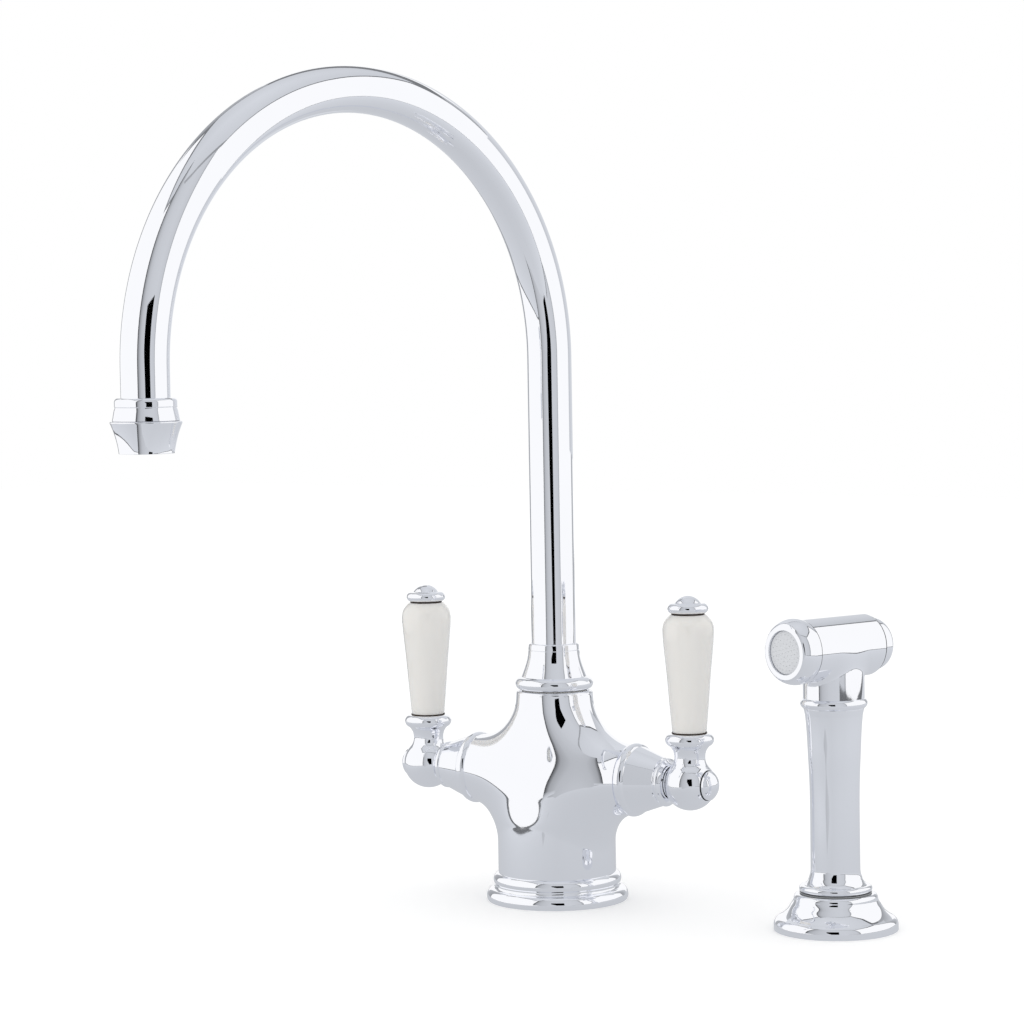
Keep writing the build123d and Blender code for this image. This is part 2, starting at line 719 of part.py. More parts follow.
outlet_foot = Plane((outlet_centre[0], outlet_centre[1], outlet_height))
outlet_section = section_plane((outlet_centre[0], outlet_centre[1], outlet_height), (1, 0, 0))
outlet_axis = Axis((outlet_centre[0], outlet_centre[1], outlet_height), (0, 0, 1))

# Collar on the end of the tube: a rounded ring above a flaring cone.
with BuildPart() as outlet_collar:
    with BuildSketch(outlet_section):
        with BuildLine():
            cone_radius = outlet_lip_radius - 0.95
            Polyline((tube_radius + fit, outlet_top), (tube_radius + fit, thread_top),
                     (outlet_thread_radius, thread_top), (outlet_thread_radius, outlet_joint),
                     (cone_radius, outlet_joint), (outlet_ring_radius - 0.2, outlet_ring_height - 0.2),
                     (outlet_ring_radius - 0.2, outlet_ring_height),
                     (outlet_ring_radius, outlet_ring_height + 0.2),
                     (outlet_ring_radius, outlet_top - 1.3))
            RadiusArc((outlet_ring_radius, outlet_top - 1.3), (outlet_ring_radius - 1.3, outlet_top),
                      -1.3)
            Line((outlet_ring_radius - 1.3, outlet_top), (tube_radius + fit, outlet_top))
        make_face()
    revolve(axis=outlet_axis)
save(outlet_collar, "outlet_collar")

# Aerator housing: a thin lip under the collar, a waisted skirt and a thread that goes up inside.
with BuildPart() as aerator_housing:
    with BuildSketch(outlet_section):
        with BuildLine():
            spigot = outlet_thread_radius - fit
            Polyline((aerator_lip, 0), (outlet_radius, 0))
            Spline((outlet_radius, 0), (outlet_radius + 0.75, 4.5), (outlet_radius + 2.0, 9.0),
                   (outlet_lip_radius, outlet_lip_height), tangents=((0.04, 1), (0.8, 1)))
            ThreePointArc((outlet_lip_radius, outlet_lip_height),
                          (outlet_lip_radius - 0.1, outlet_lip_height + 0.45),
                          (outlet_lip_radius - 0.6, outlet_lip_height + 0.6))
            Polyline((outlet_lip_radius - 0.6, outlet_lip_height + 0.6),
                     (outlet_lip_radius - 1.2, outlet_joint), (spigot, outlet_joint),
                     (spigot, thread_top), (aerator_radius + fit, thread_top),
                     (aerator_radius + fit, aerator_floor), (aerator_lip, aerator_floor),
                     (aerator_lip, 0))
        make_face()
    revolve(axis=outlet_axis)
save(aerator_housing, "aerator_housing")

# Plastic aerator: a sleeve with a mesh of small holes at its lower end.
with BuildPart(outlet_foot) as aerator_insert:
    round_bar(aerator_radius, aerator_floor, aerator_floor + aerator_height)
    bore(aerator_lip, aerator_floor + mesh_thickness, aerator_floor + aerator_height)
    hole_rings(mesh_hole_radius, mesh_pitch, 3, aerator_floor, aerator_floor + mesh_thickness)
save(aerator_insert, "aerator_insert")

# Rubber ring between the aerator housing and the end of the tube.
with BuildPart(outlet_foot) as outlet_seal:
    round_bar(tube_radius, thread_top, thread_top + outlet_seal_thickness)
    bore(aerator_lip, thread_top, thread_top + outlet_seal_thickness)
save(outlet_seal, "outlet_seal")

# ======== spray: holder on the worktop ========

holder_section = section_plane(spray_base, (1, 0, 0))
spray_axis = Axis(spray_base, (0, 0, 1))
spray_foot_plane = Plane(spray_base)

# Bell-shaped holder: a flat round foot that sweeps up to a rounded rim, bored for the liner.
with BuildPart(spray_foot_plane) as spray_holder:
    with BuildSketch(holder_section):
        with BuildLine():
            holder_bore = liner_radius + fit
            Polyline((holder_top_radius, holder_top), (holder_bore, holder_top), (holder_bore, 0),
                     (holder_radius, 0), (holder_radius, holder_edge - 1.6))
            ThreePointArc((holder_radius, holder_edge - 1.6), (holder_radius - 0.5, holder_edge + 0.8),
                          (holder_radius - 1.7, holder_edge + 2.2))
            Spline((holder_radius - 1.7, holder_edge + 2.2),
                   (holder_top_radius + 3.9, holder_edge + 6.1),
                   (holder_top_radius + 1.3, holder_top - 2.3),
                   tangents=((-1, 0.5), (-0.1, 1)))
            RadiusArc((holder_top_radius + 1.3, holder_top - 2.3), (holder_top_radius, holder_top),
                      -2.3)
        make_face()
    revolve(axis=spray_axis)
    with BuildSketch(spray_foot_plane):
        Circle(holder_gasket_outer + fit)
        Circle(holder_gasket_inner - fit, mode=Mode.SUBTRACT)
    extrude(amount=holder_gasket_thickness, mode=Mode.SUBTRACT)
save(spray_holder, "spray_holder")

# Rubber ring in the recess under the holder.
with BuildPart(spray_foot_plane) as spray_holder_gasket:
    round_bar(holder_gasket_outer, 0, holder_gasket_thickness)
    bore(holder_gasket_inner, 0, holder_gasket_thickness)
save(spray_holder_gasket, "spray_holder_gasket")

# Plastic liner that turns in the holder, with a thin flange on its rim.
with BuildPart(spray_foot_plane) as spray_liner:
    round_bar(liner_radius, liner_bottom, foot_bottom - face_gap)
    round_bar(liner_flange_radius, holder_top + face_gap, foot_bottom - face_gap)
    bore(liner_radius - liner_wall, liner_bottom, foot_bottom - face_gap)
save(spray_liner, "spray_liner")

# ======== spray: handset ========

# Foot: a rounded ring that rests on the liner, a spigot that stands in it and a plug for the grip.
foot_spigot_radius = liner_radius - liner_wall - gap
with BuildPart(spray_foot_plane) as spray_foot:
    with BuildSketch(holder_section):
        with BuildLine():
            plug_radius = grip_bore - fit
            plug_top = foot_top + foot_plug_length
            Polyline((grip_foot_radius, foot_top), (plug_radius, foot_top), (plug_radius, plug_top),
                     (0, plug_top), (0, foot_spigot_bottom), (foot_spigot_radius, foot_spigot_bottom),
                     (foot_spigot_radius, foot_bottom), (foot_ring_radius - 0.9, foot_bottom))
            ThreePointArc((foot_ring_radius - 0.9, foot_bottom), (foot_ring_radius, foot_bottom + 1.1),
                          (grip_foot_radius, foot_top))
        make_face()
    revolve(axis=spray_axis)
    bore(hose_inlet_radius + fit, foot_spigot_bottom, hose_inlet_top)
    bore(water_tube_radius + fit, hose_inlet_top, foot_top + foot_plug_length)
save(spray_foot, "spray_foot")

# Inlet nipple for the hose, pushed up into the foot.
with BuildPart(spray_foot_plane) as spray_hose_inlet:
    round_bar(hose_inlet_radius, hose_inlet_bottom, hose_inlet_top)
    bore(hose_inlet_bore, hose_inlet_bottom, hose_inlet_top)
save(spray_hose_inlet, "spray_hose_inlet")

# Tube that carries the water from the inlet up to the valve.
water_tube_top = head_height - head_bore + water_tube_entry
with BuildPart(spray_foot_plane) as spray_water_tube:
    round_bar(water_tube_radius, hose_inlet_top, water_tube_top)
    bore(water_tube_radius - water_tube_wall, hose_inlet_top, water_tube_top)
save(spray_water_tube, "spray_water_tube")

# Hollow grip with a slender waist, flared at its foot and under the collar.
with BuildPart(spray_foot_plane) as spray_grip:
    with BuildSketch(holder_section):
        with BuildLine():
            grip_neck_height = foot_top + 3.4
            Polyline((grip_top_radius + 0.7, grip_top), (grip_bore, grip_top), (grip_bore, foot_top),
                     (grip_foot_radius, foot_top))
            ThreePointArc((grip_foot_radius, foot_top),
                          (grip_waist_radius + 1.5, foot_top + 1.6),
                          (grip_waist_radius + 0.8, grip_neck_height))
            Spline((grip_waist_radius + 0.8, grip_neck_height),
                   (grip_waist_radius + 0.35, grip_neck_height + 9.0),
                   (grip_waist_radius, grip_waist_height),
                   (grip_waist_radius + 0.3, grip_top - 31.4),
                   (grip_top_radius - 0.6, grip_top - 8.8),
                   (grip_top_radius, grip_top - 2.8),
                   tangents=((-0.12, 1), (0.12, 1)))
            Line((grip_top_radius, grip_top - 2.8), (grip_top_radius + 0.7, grip_top))
        make_face()
    revolve(axis=spray_axis)
save(spray_grip, "spray_grip")

# Beaded ring between the grip and the head.
with BuildPart(spray_foot_plane) as spray_collar:
    with BuildSketch(holder_section):
        with BuildLine():
            Polyline((grip_collar_radius - 1.3, head_bottom), (grip_bore, head_bottom),
                     (grip_bore, grip_top), (grip_collar_radius - 1.3, grip_top))
            ThreePointArc((grip_collar_radius - 1.3, grip_top),
                          (grip_collar_radius, (grip_top + head_bottom) / 2),
                          (grip_collar_radius - 1.3, head_bottom))
        make_face()
    revolve(axis=spray_axis)
save(spray_collar, "spray_collar")

# Along the head, planes and sections follow the way that it faces.
head_plane = bar_plane(head_centre, spray_way)
head_upright = Plane(origin=head_centre, x_dir=spray_way, z_dir=(0, 0, 1))
head_section = section_plane(head_centre, spray_way)
head_axis = Axis(head_centre, spray_way)

# Head: a level cylinder on an upright stub, blended together, with a spigot down into the grip.
with BuildPart(head_upright) as spray_head:
    round_bar(head_stub_radius, head_bottom - head_height, 0)
    with Locations(Location((0, 0, 0), (0, 90, 0))):
        Cylinder(head_radius, 2 * head_half_length)
    stub_joints = spray_head.edges().filter_by(GeomType.BSPLINE)
    fillet(stub_joints, stub_blend)
    rear_rim = spray_head.edges().filter_by(GeomType.CIRCLE).sort_by(head_axis)[0]
    fillet(rear_rim, head_edge)
    spigot_end = head_bottom - head_spigot_length - head_height
    round_bar(grip_bore - fit, spigot_end, head_bottom - head_height)
    bore(head_spigot_bore, spigot_end, 0)
    with Locations(Location((0, 0, 0), (0, 90, 0))):
        Cylinder(head_bore, 2 * head_half_length, mode=Mode.SUBTRACT)
save(spray_head, "spray_head")

# Bezel pushed into the front of the head: a swelling ring that turns in to the spray face.
bezel_front = head_half_length + bezel_length
face_seat = face_front - face_lip_depth
with BuildPart(head_plane) as spray_bezel:
    with BuildSketch(head_section):
        with BuildLine():
            spigot_rear = head_half_length - bezel_spigot
            swell = (head_half_length + bezel_length / 3, bezel_radius)
            brow = (bezel_front - 0.6, bezel_face_radius + 0.2)
            Polyline(brow, (bezel_front, bezel_face_radius - 0.5), (bezel_front, face_radius + fit),
                     (face_seat, face_radius + fit), (face_seat, bezel_spigot_bore),
                     (spigot_rear, bezel_spigot_bore), (spigot_rear, head_bore - fit),
                     (head_half_length, head_bore - fit), (head_half_length, bezel_rear_radius))
            Spline((head_half_length, bezel_rear_radius), swell, brow,
                   tangents=((1, 0.3), (1, -0.8)))
        make_face()
    revolve(axis=head_axis)
save(spray_bezel, "spray_bezel")

# Spray face: a disc with rings of small holes, held behind the bezel by its flange.
with BuildPart(head_plane) as spray_face:
    round_bar(face_radius, face_seat - face_flange, face_front)
    round_bar(bezel_spigot_bore - fit, face_seat - face_flange, face_seat)
    hole_rings(face_hole_radius, face_hole_pitch, 4, face_seat - face_flange, face_front)
save(spray_face, "spray_face")

# ======== spray: valve and button in the head ========

# Valve body: a plug in the head with a chamber, an orifice in front and a guide for the stem.
with BuildPart(head_plane) as spray_valve_body:
    round_bar(head_bore - fit, valve_rear, valve_front)
    bore(valve_stem_radius + fit, valve_rear, valve_chamber_rear)
    bore(valve_chamber_radius, valve_chamber_rear, valve_chamber_front)
    bore(valve_orifice, valve_chamber_front, valve_front)
    with Locations(Location((-head_bore, 0, 0), (0, 90, 0))):
        Cylinder(water_tube_radius - water_tube_wall, head_bore, align=FROM_BELOW,
                 mode=Mode.SUBTRACT)
        Cylinder(water_tube_radius + fit, water_tube_entry, align=FROM_BELOW, mode=Mode.SUBTRACT)
save(spray_valve_body, "spray_valve_body")

# Return spring behind the valve body, as a plain sleeve of its outer size.
with BuildPart(head_plane) as spray_button_spring:
    round_bar(spring_outer, button_web - button_end + button_travel + gap, valve_rear)
    bore(spring_inner, button_web - button_end + button_travel + gap, valve_rear)
save(spray_button_spring, "spray_button_spring")

# Push button that closes the rear of the head: a rounded cup with a boss for the stem.
with BuildPart(head_plane) as spray_button:
    round_bar(button_radius, -button_end, -button_skirt_end)
    fillet(spray_button.edges().sort_by(head_axis)[0], button_round)
    bore(button_skirt_bore, button_web - button_end, -button_skirt_end)
    round_bar(button_boss_radius, button_web - button_end, -button_boss_end)
    bore(valve_stem_radius, -button_boss_end - button_socket, -button_boss_end)
save(spray_button, "spray_button")

# Valve stem, fixed in the boss, with a nut that holds the seal at its front end.
nut_rear = valve_front + face_gap + valve_seal_thickness
with BuildPart(head_plane) as spray_valve_stem:
    round_bar(valve_stem_radius, -button_boss_end - button_socket, nut_rear + stem_nut_height)
    round_bar(stem_nut_radius, nut_rear, nut_rear + stem_nut_height)
save(spray_valve_stem, "spray_valve_stem")

# Rubber seal that closes the orifice from the front.
with BuildPart(head_plane) as spray_valve_seal:
    round_bar(valve_seal_radius, valve_front + face_gap, nut_rear)
    bore(valve_stem_radius, valve_front + face_gap, nut_rear)
save(spray_valve_seal, "spray_valve_seal")
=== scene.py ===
"""Looks of the two-lever kitchen tap and its side spray: chrome, porcelain and studio light.

Lengths in this file are in millimetres and become metres where a mesh is made. The frame is the
one of the solids: origin on the worktop on the tap's axis, +Z up, +X towards the spray.
"""

from __future__ import annotations

import json
import logging
import math
from dataclasses import dataclass
from enum import Enum
from typing import Callable, Iterable, Sequence

import bmesh
import bpy
import numpy as np
from mathutils import Matrix, Vector

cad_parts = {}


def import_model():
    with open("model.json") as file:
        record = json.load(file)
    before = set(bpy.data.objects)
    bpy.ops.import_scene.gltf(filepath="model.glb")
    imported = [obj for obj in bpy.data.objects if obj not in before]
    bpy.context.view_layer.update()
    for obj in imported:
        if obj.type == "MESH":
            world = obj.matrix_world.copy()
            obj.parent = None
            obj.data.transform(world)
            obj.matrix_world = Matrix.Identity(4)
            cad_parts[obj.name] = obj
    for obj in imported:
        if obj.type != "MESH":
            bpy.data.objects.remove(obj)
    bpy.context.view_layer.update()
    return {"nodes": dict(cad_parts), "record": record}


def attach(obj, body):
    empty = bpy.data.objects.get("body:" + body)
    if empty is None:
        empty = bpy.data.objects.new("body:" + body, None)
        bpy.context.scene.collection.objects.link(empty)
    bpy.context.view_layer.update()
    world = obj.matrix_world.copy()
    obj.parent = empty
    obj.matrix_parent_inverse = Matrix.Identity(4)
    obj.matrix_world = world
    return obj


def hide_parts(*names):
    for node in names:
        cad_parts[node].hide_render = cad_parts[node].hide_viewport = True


log = logging.getLogger("side_spray_tap")

MM = 0.001
PER_METRE = 1000  # mm in a metre
TINY = 1e-6
SHARP_ANGLE = math.radians(32)  # a crease wider than this stays sharp
EASED_ANGLE = math.radians(28)  # a corner of an outline wider than this is rounded
EASED_SHARE = 0.45  # most of a side that a rounding may take up
Point = tuple[float, float]
Socket = bpy.types.NodeSocket


# ---- outlines of turned parts ----

class Outline:
    """Walk of points (radius, height along the axis) that is turned into a solid of revolution."""

    def __init__(self, *start: Point) -> None:
        """Start the walk.

        Args:
            start: the first point or points, joined by straight lines.
        """
        self.points: list[Point] = list(start)

    def line(self, *points: Point) -> Outline:
        """Go on in straight lines through the given points."""
        self.points.extend(points)
        return self

    def arc(self, through: Point, end: Point, steps: int = 14) -> Outline:
        """Go on along a circle.

        Args:
            through: a point of the arc.
            end: where it ends.
            steps: short lines that stand for it.

        Returns:
            The same outline.
        """
        (ax, ay), (bx, by), (cx, cy) = self.points[-1], through, end
        d = 2 * (ax * (by - cy) + bx * (cy - ay) + cx * (ay - by))
        a2, b2, c2 = ax * ax + ay * ay, bx * bx + by * by, cx * cx + cy * cy
        ox = (a2 * (by - cy) + b2 * (cy - ay) + c2 * (ay - by)) / d
        oy = (a2 * (cx - bx) + b2 * (ax - cx) + c2 * (bx - ax)) / d
        radius = math.hypot(ax - ox, ay - oy)
        first = math.atan2(ay - oy, ax - ox)
        middle = (math.atan2(by - oy, bx - ox) - first) % math.tau
        sweep = (math.atan2(cy - oy, cx - ox) - first) % math.tau
        if middle > sweep:
            sweep -= math.tau
        for i in range(1, steps + 1):
            angle = first + sweep * i / steps
            self.points.append((ox + radius * math.cos(angle), oy + radius * math.sin(angle)))
        return self

    def curve(self, *points: Point, leave: Point, arrive: Point, steps: int = 10) -> Outline:
        """Go on along a smooth cubic curve through the given points.

        Args:
            points: the points after the last one, in order.
            leave: direction at the last point of the walk so far.
            arrive: direction at the end.
            steps: short lines per stretch.

        Returns:
            The same outline.
        """
        knots = np.array([self.points[-1], *points], float)
        for x, y in smooth_curve(knots, leave, arrive, steps)[1:]:
            self.points.append((float(x), float(y)))
        return self

    def eased(self, radius: float) -> Outline:
        """Round each sharp corner, because a polished edge is never quite sharp.

        Args:
            radius: radius of the rounding, less where a side is too short for it.

        Returns:
            The same outline.
        """
        old = self.points
        eased: list[Point] = []
        for i, (x, y) in enumerate(old):
            here = Vector((x, y))
            into, out = here - Vector(old[i - 1]), Vector(old[(i + 1) % len(old)]) - here
            on_axis = x < TINY
            if on_axis or min(into.length, out.length) < TINY or into.angle(out) < EASED_ANGLE:
                eased.append((x, y))
                continue
            cut = radius * math.tan(into.angle(out) / 2)
            cut = min(cut, EASED_SHARE * into.length, EASED_SHARE * out.length)
            start, end = here - into.normalized() * cut, here + out.normalized() * cut
            for t in (0, 0.25, 0.5, 0.75, 1):
                p = start * (1 - t) ** 2 + here * 2 * t * (1 - t) + end * t ** 2
                eased.append((p.x, p.y))
        self.points = eased
        return self


def rod(radius: float, low: float, top: float) -> Outline:
    """Outline of a plain cylinder between two heights."""
    return Outline((0, low), (radius, low), (radius, top), (0, top))


def smooth_curve(knots: np.ndarray, leave: Point, arrive: Point, steps: int) -> np.ndarray:
    """Cubic spline through points, with the given directions at its two ends.

    Args:
        knots: points, one a row.
        leave: direction at the first point.
        arrive: direction at the last point.
        steps: samples per stretch.

    Returns:
        The sampled points, one a row.
    """
    spans = np.linalg.norm(np.diff(knots, axis=0), axis=1)
    count = len(knots)
    system = np.zeros((count, count))
    right = np.zeros_like(knots)
    system[0, 0] = system[-1, -1] = 1
    right[0] = np.array(leave, float) / np.linalg.norm(leave)
    right[-1] = np.array(arrive, float) / np.linalg.norm(arrive)
    for i in range(1, count - 1):
        before, after = spans[i - 1], spans[i]
        system[i, i - 1:i + 2] = after, 2 * (before + after), before
        right[i] = 3 * (after * (knots[i] - knots[i - 1]) / before
                        + before * (knots[i + 1] - knots[i]) / after)
    slopes = np.linalg.solve(system, right)
    samples = [knots[0]]
    for i, span in enumerate(spans):
        for t in np.arange(1, steps + 1) / steps:
            a, b = 1 - t, t
            samples.append(a * a * (1 + 2 * b) * knots[i] + b * b * (1 + 2 * a) * knots[i + 1]
                           + span * a * b * (a * slopes[i] - b * slopes[i + 1]))
    return np.array(samples)


# ---- meshes ----

def placed(origin: Sequence[float] = (0, 0, 0), way: Sequence[float] = (0, 0, 1)) -> Matrix:
    """Matrix that puts a turned part's foot at `origin`, in mm, with its axis along `way`."""
    turn = Vector((0, 0, 1)).rotation_difference(Vector(way)).to_matrix().to_4x4()
    return Matrix.Translation(Vector(origin)) @ turn


def shade_crisp(mesh: bpy.types.Mesh) -> None:
    """Shade a mesh smooth between its sharp edges."""
    mesh.shade_smooth()
    mesh.set_sharp_from_angle(angle=SHARP_ANGLE)


def linked(name: str, data: bpy.types.ID) -> bpy.types.Object:
    """Put a new object into the scene.

    Args:
        name: its name.
        data: its mesh or camera.

    Returns:
        The new object.
    """
    piece = bpy.data.objects.new(name, data)
    bpy.context.scene.collection.objects.link(piece)
    return piece


def applied(piece: bpy.types.Object) -> bpy.types.Mesh:
    """Mesh of a piece with its modifiers worked in."""
    graph = bpy.context.evaluated_depsgraph_get()
    return bpy.data.meshes.new_from_object(piece.evaluated_get(graph))


def finished_mesh(name: str, work: bmesh.types.BMesh) -> bpy.types.Object:
    """Make an object of working geometry.

    Args:
        name: the object's name.
        work: geometry in mm; it is used up.

    Returns:
        The new object, in metres.
    """
    bmesh.ops.recalc_face_normals(work, faces=work.faces)
    bmesh.ops.scale(work, vec=(MM, MM, MM), verts=work.verts)
    mesh = bpy.data.meshes.new(name)
    work.to_mesh(mesh)
    work.free()
    shade_crisp(mesh)
    return linked(name, mesh)


def add_turning(work: bmesh.types.BMesh, outline: Outline, place: Matrix, segments: int) -> None:
    """Add one closed solid of revolution to the working geometry.

    Args:
        work: geometry to add to.
        outline: closed walk of (radius, height), or an open one that starts and ends on the axis.
        place: where the axis stands.
        segments: flats around the axis.
    """
    rings: list[list[bmesh.types.BMVert]] = []
    for radius, height in outline.points:
        if radius < TINY:
            rings.append([work.verts.new(place @ Vector((0, 0, height)))] * segments)
            continue
        ring = []
        for i in range(segments):
            angle = math.tau * i / segments
            spot = Vector((radius * math.cos(angle), radius * math.sin(angle), height))
            ring.append(work.verts.new(place @ spot))
        rings.append(ring)
    open_walk = max(outline.points[0][0], outline.points[-1][0]) < TINY
    last = len(rings) - 1 if open_walk else len(rings)
    for k in range(last):
        lower, upper = rings[k], rings[(k + 1) % len(rings)]
        for i in range(segments):
            j = (i + 1) % segments
            corners = list(dict.fromkeys((lower[i], lower[j], upper[j], upper[i])))
            if len(corners) > 2:
                work.faces.new(corners)


def turned(name: str, outline: Outline, place: Matrix, segments: int = 128,
           ease: float = 0.15) -> bpy.types.Object:
    """Make a turned part.

    Args:
        name: the piece's name.
        outline: its walk of (radius, height) in mm.
        place: where its axis stands.
        segments: flats around the axis.
        ease: radius of its eased edges in mm, 0 to leave them sharp.

    Returns:
        The new object.
    """
    work = bmesh.new()
    add_turning(work, outline.eased(ease) if ease else outline, place, segments)
    return finished_mesh(name, work)


def swept_tube(name: str, path: Sequence[Vector], radius: float, bore: float,
               side: Vector, segments: int = 96) -> bpy.types.Object:
    """Make a hollow tube along a path that lies in one plane.

    Args:
        name: the piece's name.
        path: points of the centre line in mm.
        radius: outer radius.
        bore: inner radius.
        side: direction square to the plane of the path.
        segments: flats around the tube.

    Returns:
        The new object.
    """
    work = bmesh.new()
    shells: list[list[list[bmesh.types.BMVert]]] = []
    for shell in (radius, bore):
        rings = []
        for i, spot in enumerate(path):
            ahead, behind = path[min(i + 1, len(path) - 1)], path[max(i - 1, 0)]
            out = (ahead - behind).normalized().cross(side)
            ring = []
            for k in range(segments):
                angle = math.tau * k / segments
                ring.append(work.verts.new(
                    spot + shell * (math.cos(angle) * out + math.sin(angle) * side)))
            rings.append(ring)
        shells.append(rings)
    outer, inner = shells
    strips = [(rings[i], rings[i + 1]) for rings in shells for i in range(len(path) - 1)]
    strips += [(outer[0], inner[0]), (outer[-1], inner[-1])]
    for one, other in strips:
        for k in range(segments):
            j = (k + 1) % segments
            work.faces.new((one[k], one[j], other[j], other[k]))
    return finished_mesh(name, work)


def cut_away(piece: bpy.types.Object, tools: Sequence[bpy.types.Object]) -> None:
    """Take closed shapes out of a closed piece.

    Args:
        piece: the piece; it gets a new mesh.
        tools: the shapes to take away; they are used up.
    """
    for tool in tools:
        cut = piece.modifiers.new("cut", "BOOLEAN")
        cut.operation, cut.solver, cut.object = "DIFFERENCE", "MANIFOLD", tool
    mesh = applied(piece)
    piece.modifiers.clear()
    old, piece.data = piece.data, mesh
    bpy.data.meshes.remove(old)
    mesh.name = piece.name
    for tool in tools:
        bpy.data.objects.remove(tool)


def read_rows(rows: bpy.types.bpy_prop_collection, key: str, width: int = 1,
              kind: type = float) -> np.ndarray:
    """Read one value of every vertex, corner or face of a mesh.

    Args:
        rows: the mesh's vertices, corners or faces.
        key: name of the value.
        width: numbers in each value.
        kind: type of the numbers.

    Returns:
        The numbers, one row for each value.
    """
    flat = np.empty(len(rows) * width, kind)
    rows.foreach_get(key, flat)
    return flat.reshape(-1, width) if width > 1 else flat


# ---- castings whose branches blend into each other ----

Field = Callable[[np.ndarray], np.ndarray]
SETTLING_STEPS = 14
LEAST_STEEPNESS = 0.05  # keeps a step short where a field is nearly flat
SKIN_DEPTH = 0.05  # mm from the surface within which a point belongs to the skin
SAME_WAY = 0.8  # cosine above which a face looks the way of the field's slope


def round_union(one: np.ndarray, other: np.ndarray, blend: float) -> np.ndarray:
    """Distance to two shapes joined with a hollow round of the given radius."""
    hollow = np.hypot(np.maximum(blend - one, 0), np.maximum(blend - other, 0))
    return np.maximum(blend, np.minimum(one, other)) - hollow


def round_corner(one: np.ndarray, other: np.ndarray, blend: float) -> np.ndarray:
    """Distance to what two shapes have in common, with its edge rounded to the given radius."""
    proud = np.hypot(np.maximum(blend + one, 0), np.maximum(blend + other, 0))
    return np.minimum(-blend, np.maximum(one, other)) + proud


def slopes_of(field: Field, spots: np.ndarray, step: float = 0.02) -> np.ndarray:
    """Gradient of a distance field.

    Args:
        field: signed distance in mm.
        spots: points, one a row.
        step: how far either way it is sampled.

    Returns:
        The gradient at each point, one a row.
    """
    slopes = np.empty_like(spots)
    for k in range(3):
        shift = np.zeros(3)
        shift[k] = step
        slopes[:, k] = (field(spots + shift) - field(spots - shift)) / (2 * step)
    return slopes


def skinned(name: str, rough: bpy.types.Object, field: Field, cell: float) -> bpy.types.Object:
    """Lay an even mesh over a rough shape and draw it onto the surface of a distance field.

    Args:
        name: the piece's name.
        rough: overlapping closed solids near the surface, in metres; it is used up.
        field: signed distance in mm, zero on the surface.
        cell: length of a mesh cell in mm.

    Returns:
        The new object, shaded by the field's own slope.
    """
    remesh = rough.modifiers.new("even_cells", "REMESH")
    remesh.mode = "VOXEL"
    remesh.voxel_size = cell * MM
    mesh = applied(rough)
    bpy.data.objects.remove(rough)
    mesh.name = name
    spots = read_rows(mesh.vertices, "co", 3) / MM
    for _ in range(SETTLING_STEPS):
        slopes = slopes_of(field, spots)
        steep = np.maximum(np.sum(slopes ** 2, axis=1), LEAST_STEEPNESS)
        spots -= (field(spots) / steep)[:, None] * slopes
    slopes = slopes_of(field, spots)
    slopes /= np.linalg.norm(slopes, axis=1)[:, None]
    mesh.vertices.foreach_set("co", (spots * MM).ravel())
    mesh.shade_smooth()
    mesh.normals_split_custom_set_from_vertices(slopes.tolist())
    mesh.update()
    return linked(name, mesh)


def axis_of(way: Sequence[float]) -> np.ndarray:
    """Unit direction as an array."""
    return np.array(way, float) / np.linalg.norm(way)


def radius_from(spots: np.ndarray, origin: Sequence[float], way: Sequence[float]) -> np.ndarray:
    """Distance of points from an axis.

    Args:
        spots: points, one a row.
        origin: a point of the axis.
        way: its direction.

    Returns:
        The distance of each point.
    """
    from_origin = spots - np.array(origin, float)
    along = from_origin @ axis_of(way)
    return np.linalg.norm(from_origin - along[:, None] * axis_of(way), axis=1)


def bored(skin: bpy.types.Object, cutters: Iterable[tuple[Outline, Matrix]],
          field: Field) -> None:
    """Cut turned shapes out of a skin, and shade what is left of it by its field again.

    Args:
        skin: the closed skin.
        cutters: outline and place of each shape to take away.
        field: the field that the skin was drawn onto.
    """
    cut_away(skin, [turned("cutter", outline, place, 96, 0) for outline, place in cutters])
    mesh = skin.data
    spots = read_rows(mesh.vertices, "co", 3) / MM
    slopes = slopes_of(field, spots)
    slopes /= np.maximum(np.linalg.norm(slopes, axis=1), 1e-9)[:, None]
    on_skin = np.abs(field(spots)) < SKIN_DEPTH
    corners = read_rows(mesh.loops, "vertex_index", kind=int)
    flat = np.repeat(read_rows(mesh.polygons, "normal", 3),
                     read_rows(mesh.polygons, "loop_total", kind=int), axis=0)
    smooth = on_skin[corners] & (np.sum(slopes[corners] * flat, axis=1) > SAME_WAY)
    mesh.shade_smooth()
    mesh.normals_split_custom_set(np.where(smooth[:, None], slopes[corners], flat).tolist())


# ---- finishes ----

def linear(colour: str) -> tuple[float, float, float, float]:
    """Turn an sRGB colour to linear light.

    Args:
        colour: a hex colour such as "#E4E2DC".

    Returns:
        Red, green, blue and alpha.
    """
    parts = (int(colour[i:i + 2], 16) / 255 for i in (1, 3, 5))
    red, green, blue = (c / 12.92 if c <= 0.04045 else ((c + 0.055) / 1.055) ** 2.4 for c in parts)
    return red, green, blue, 1.0


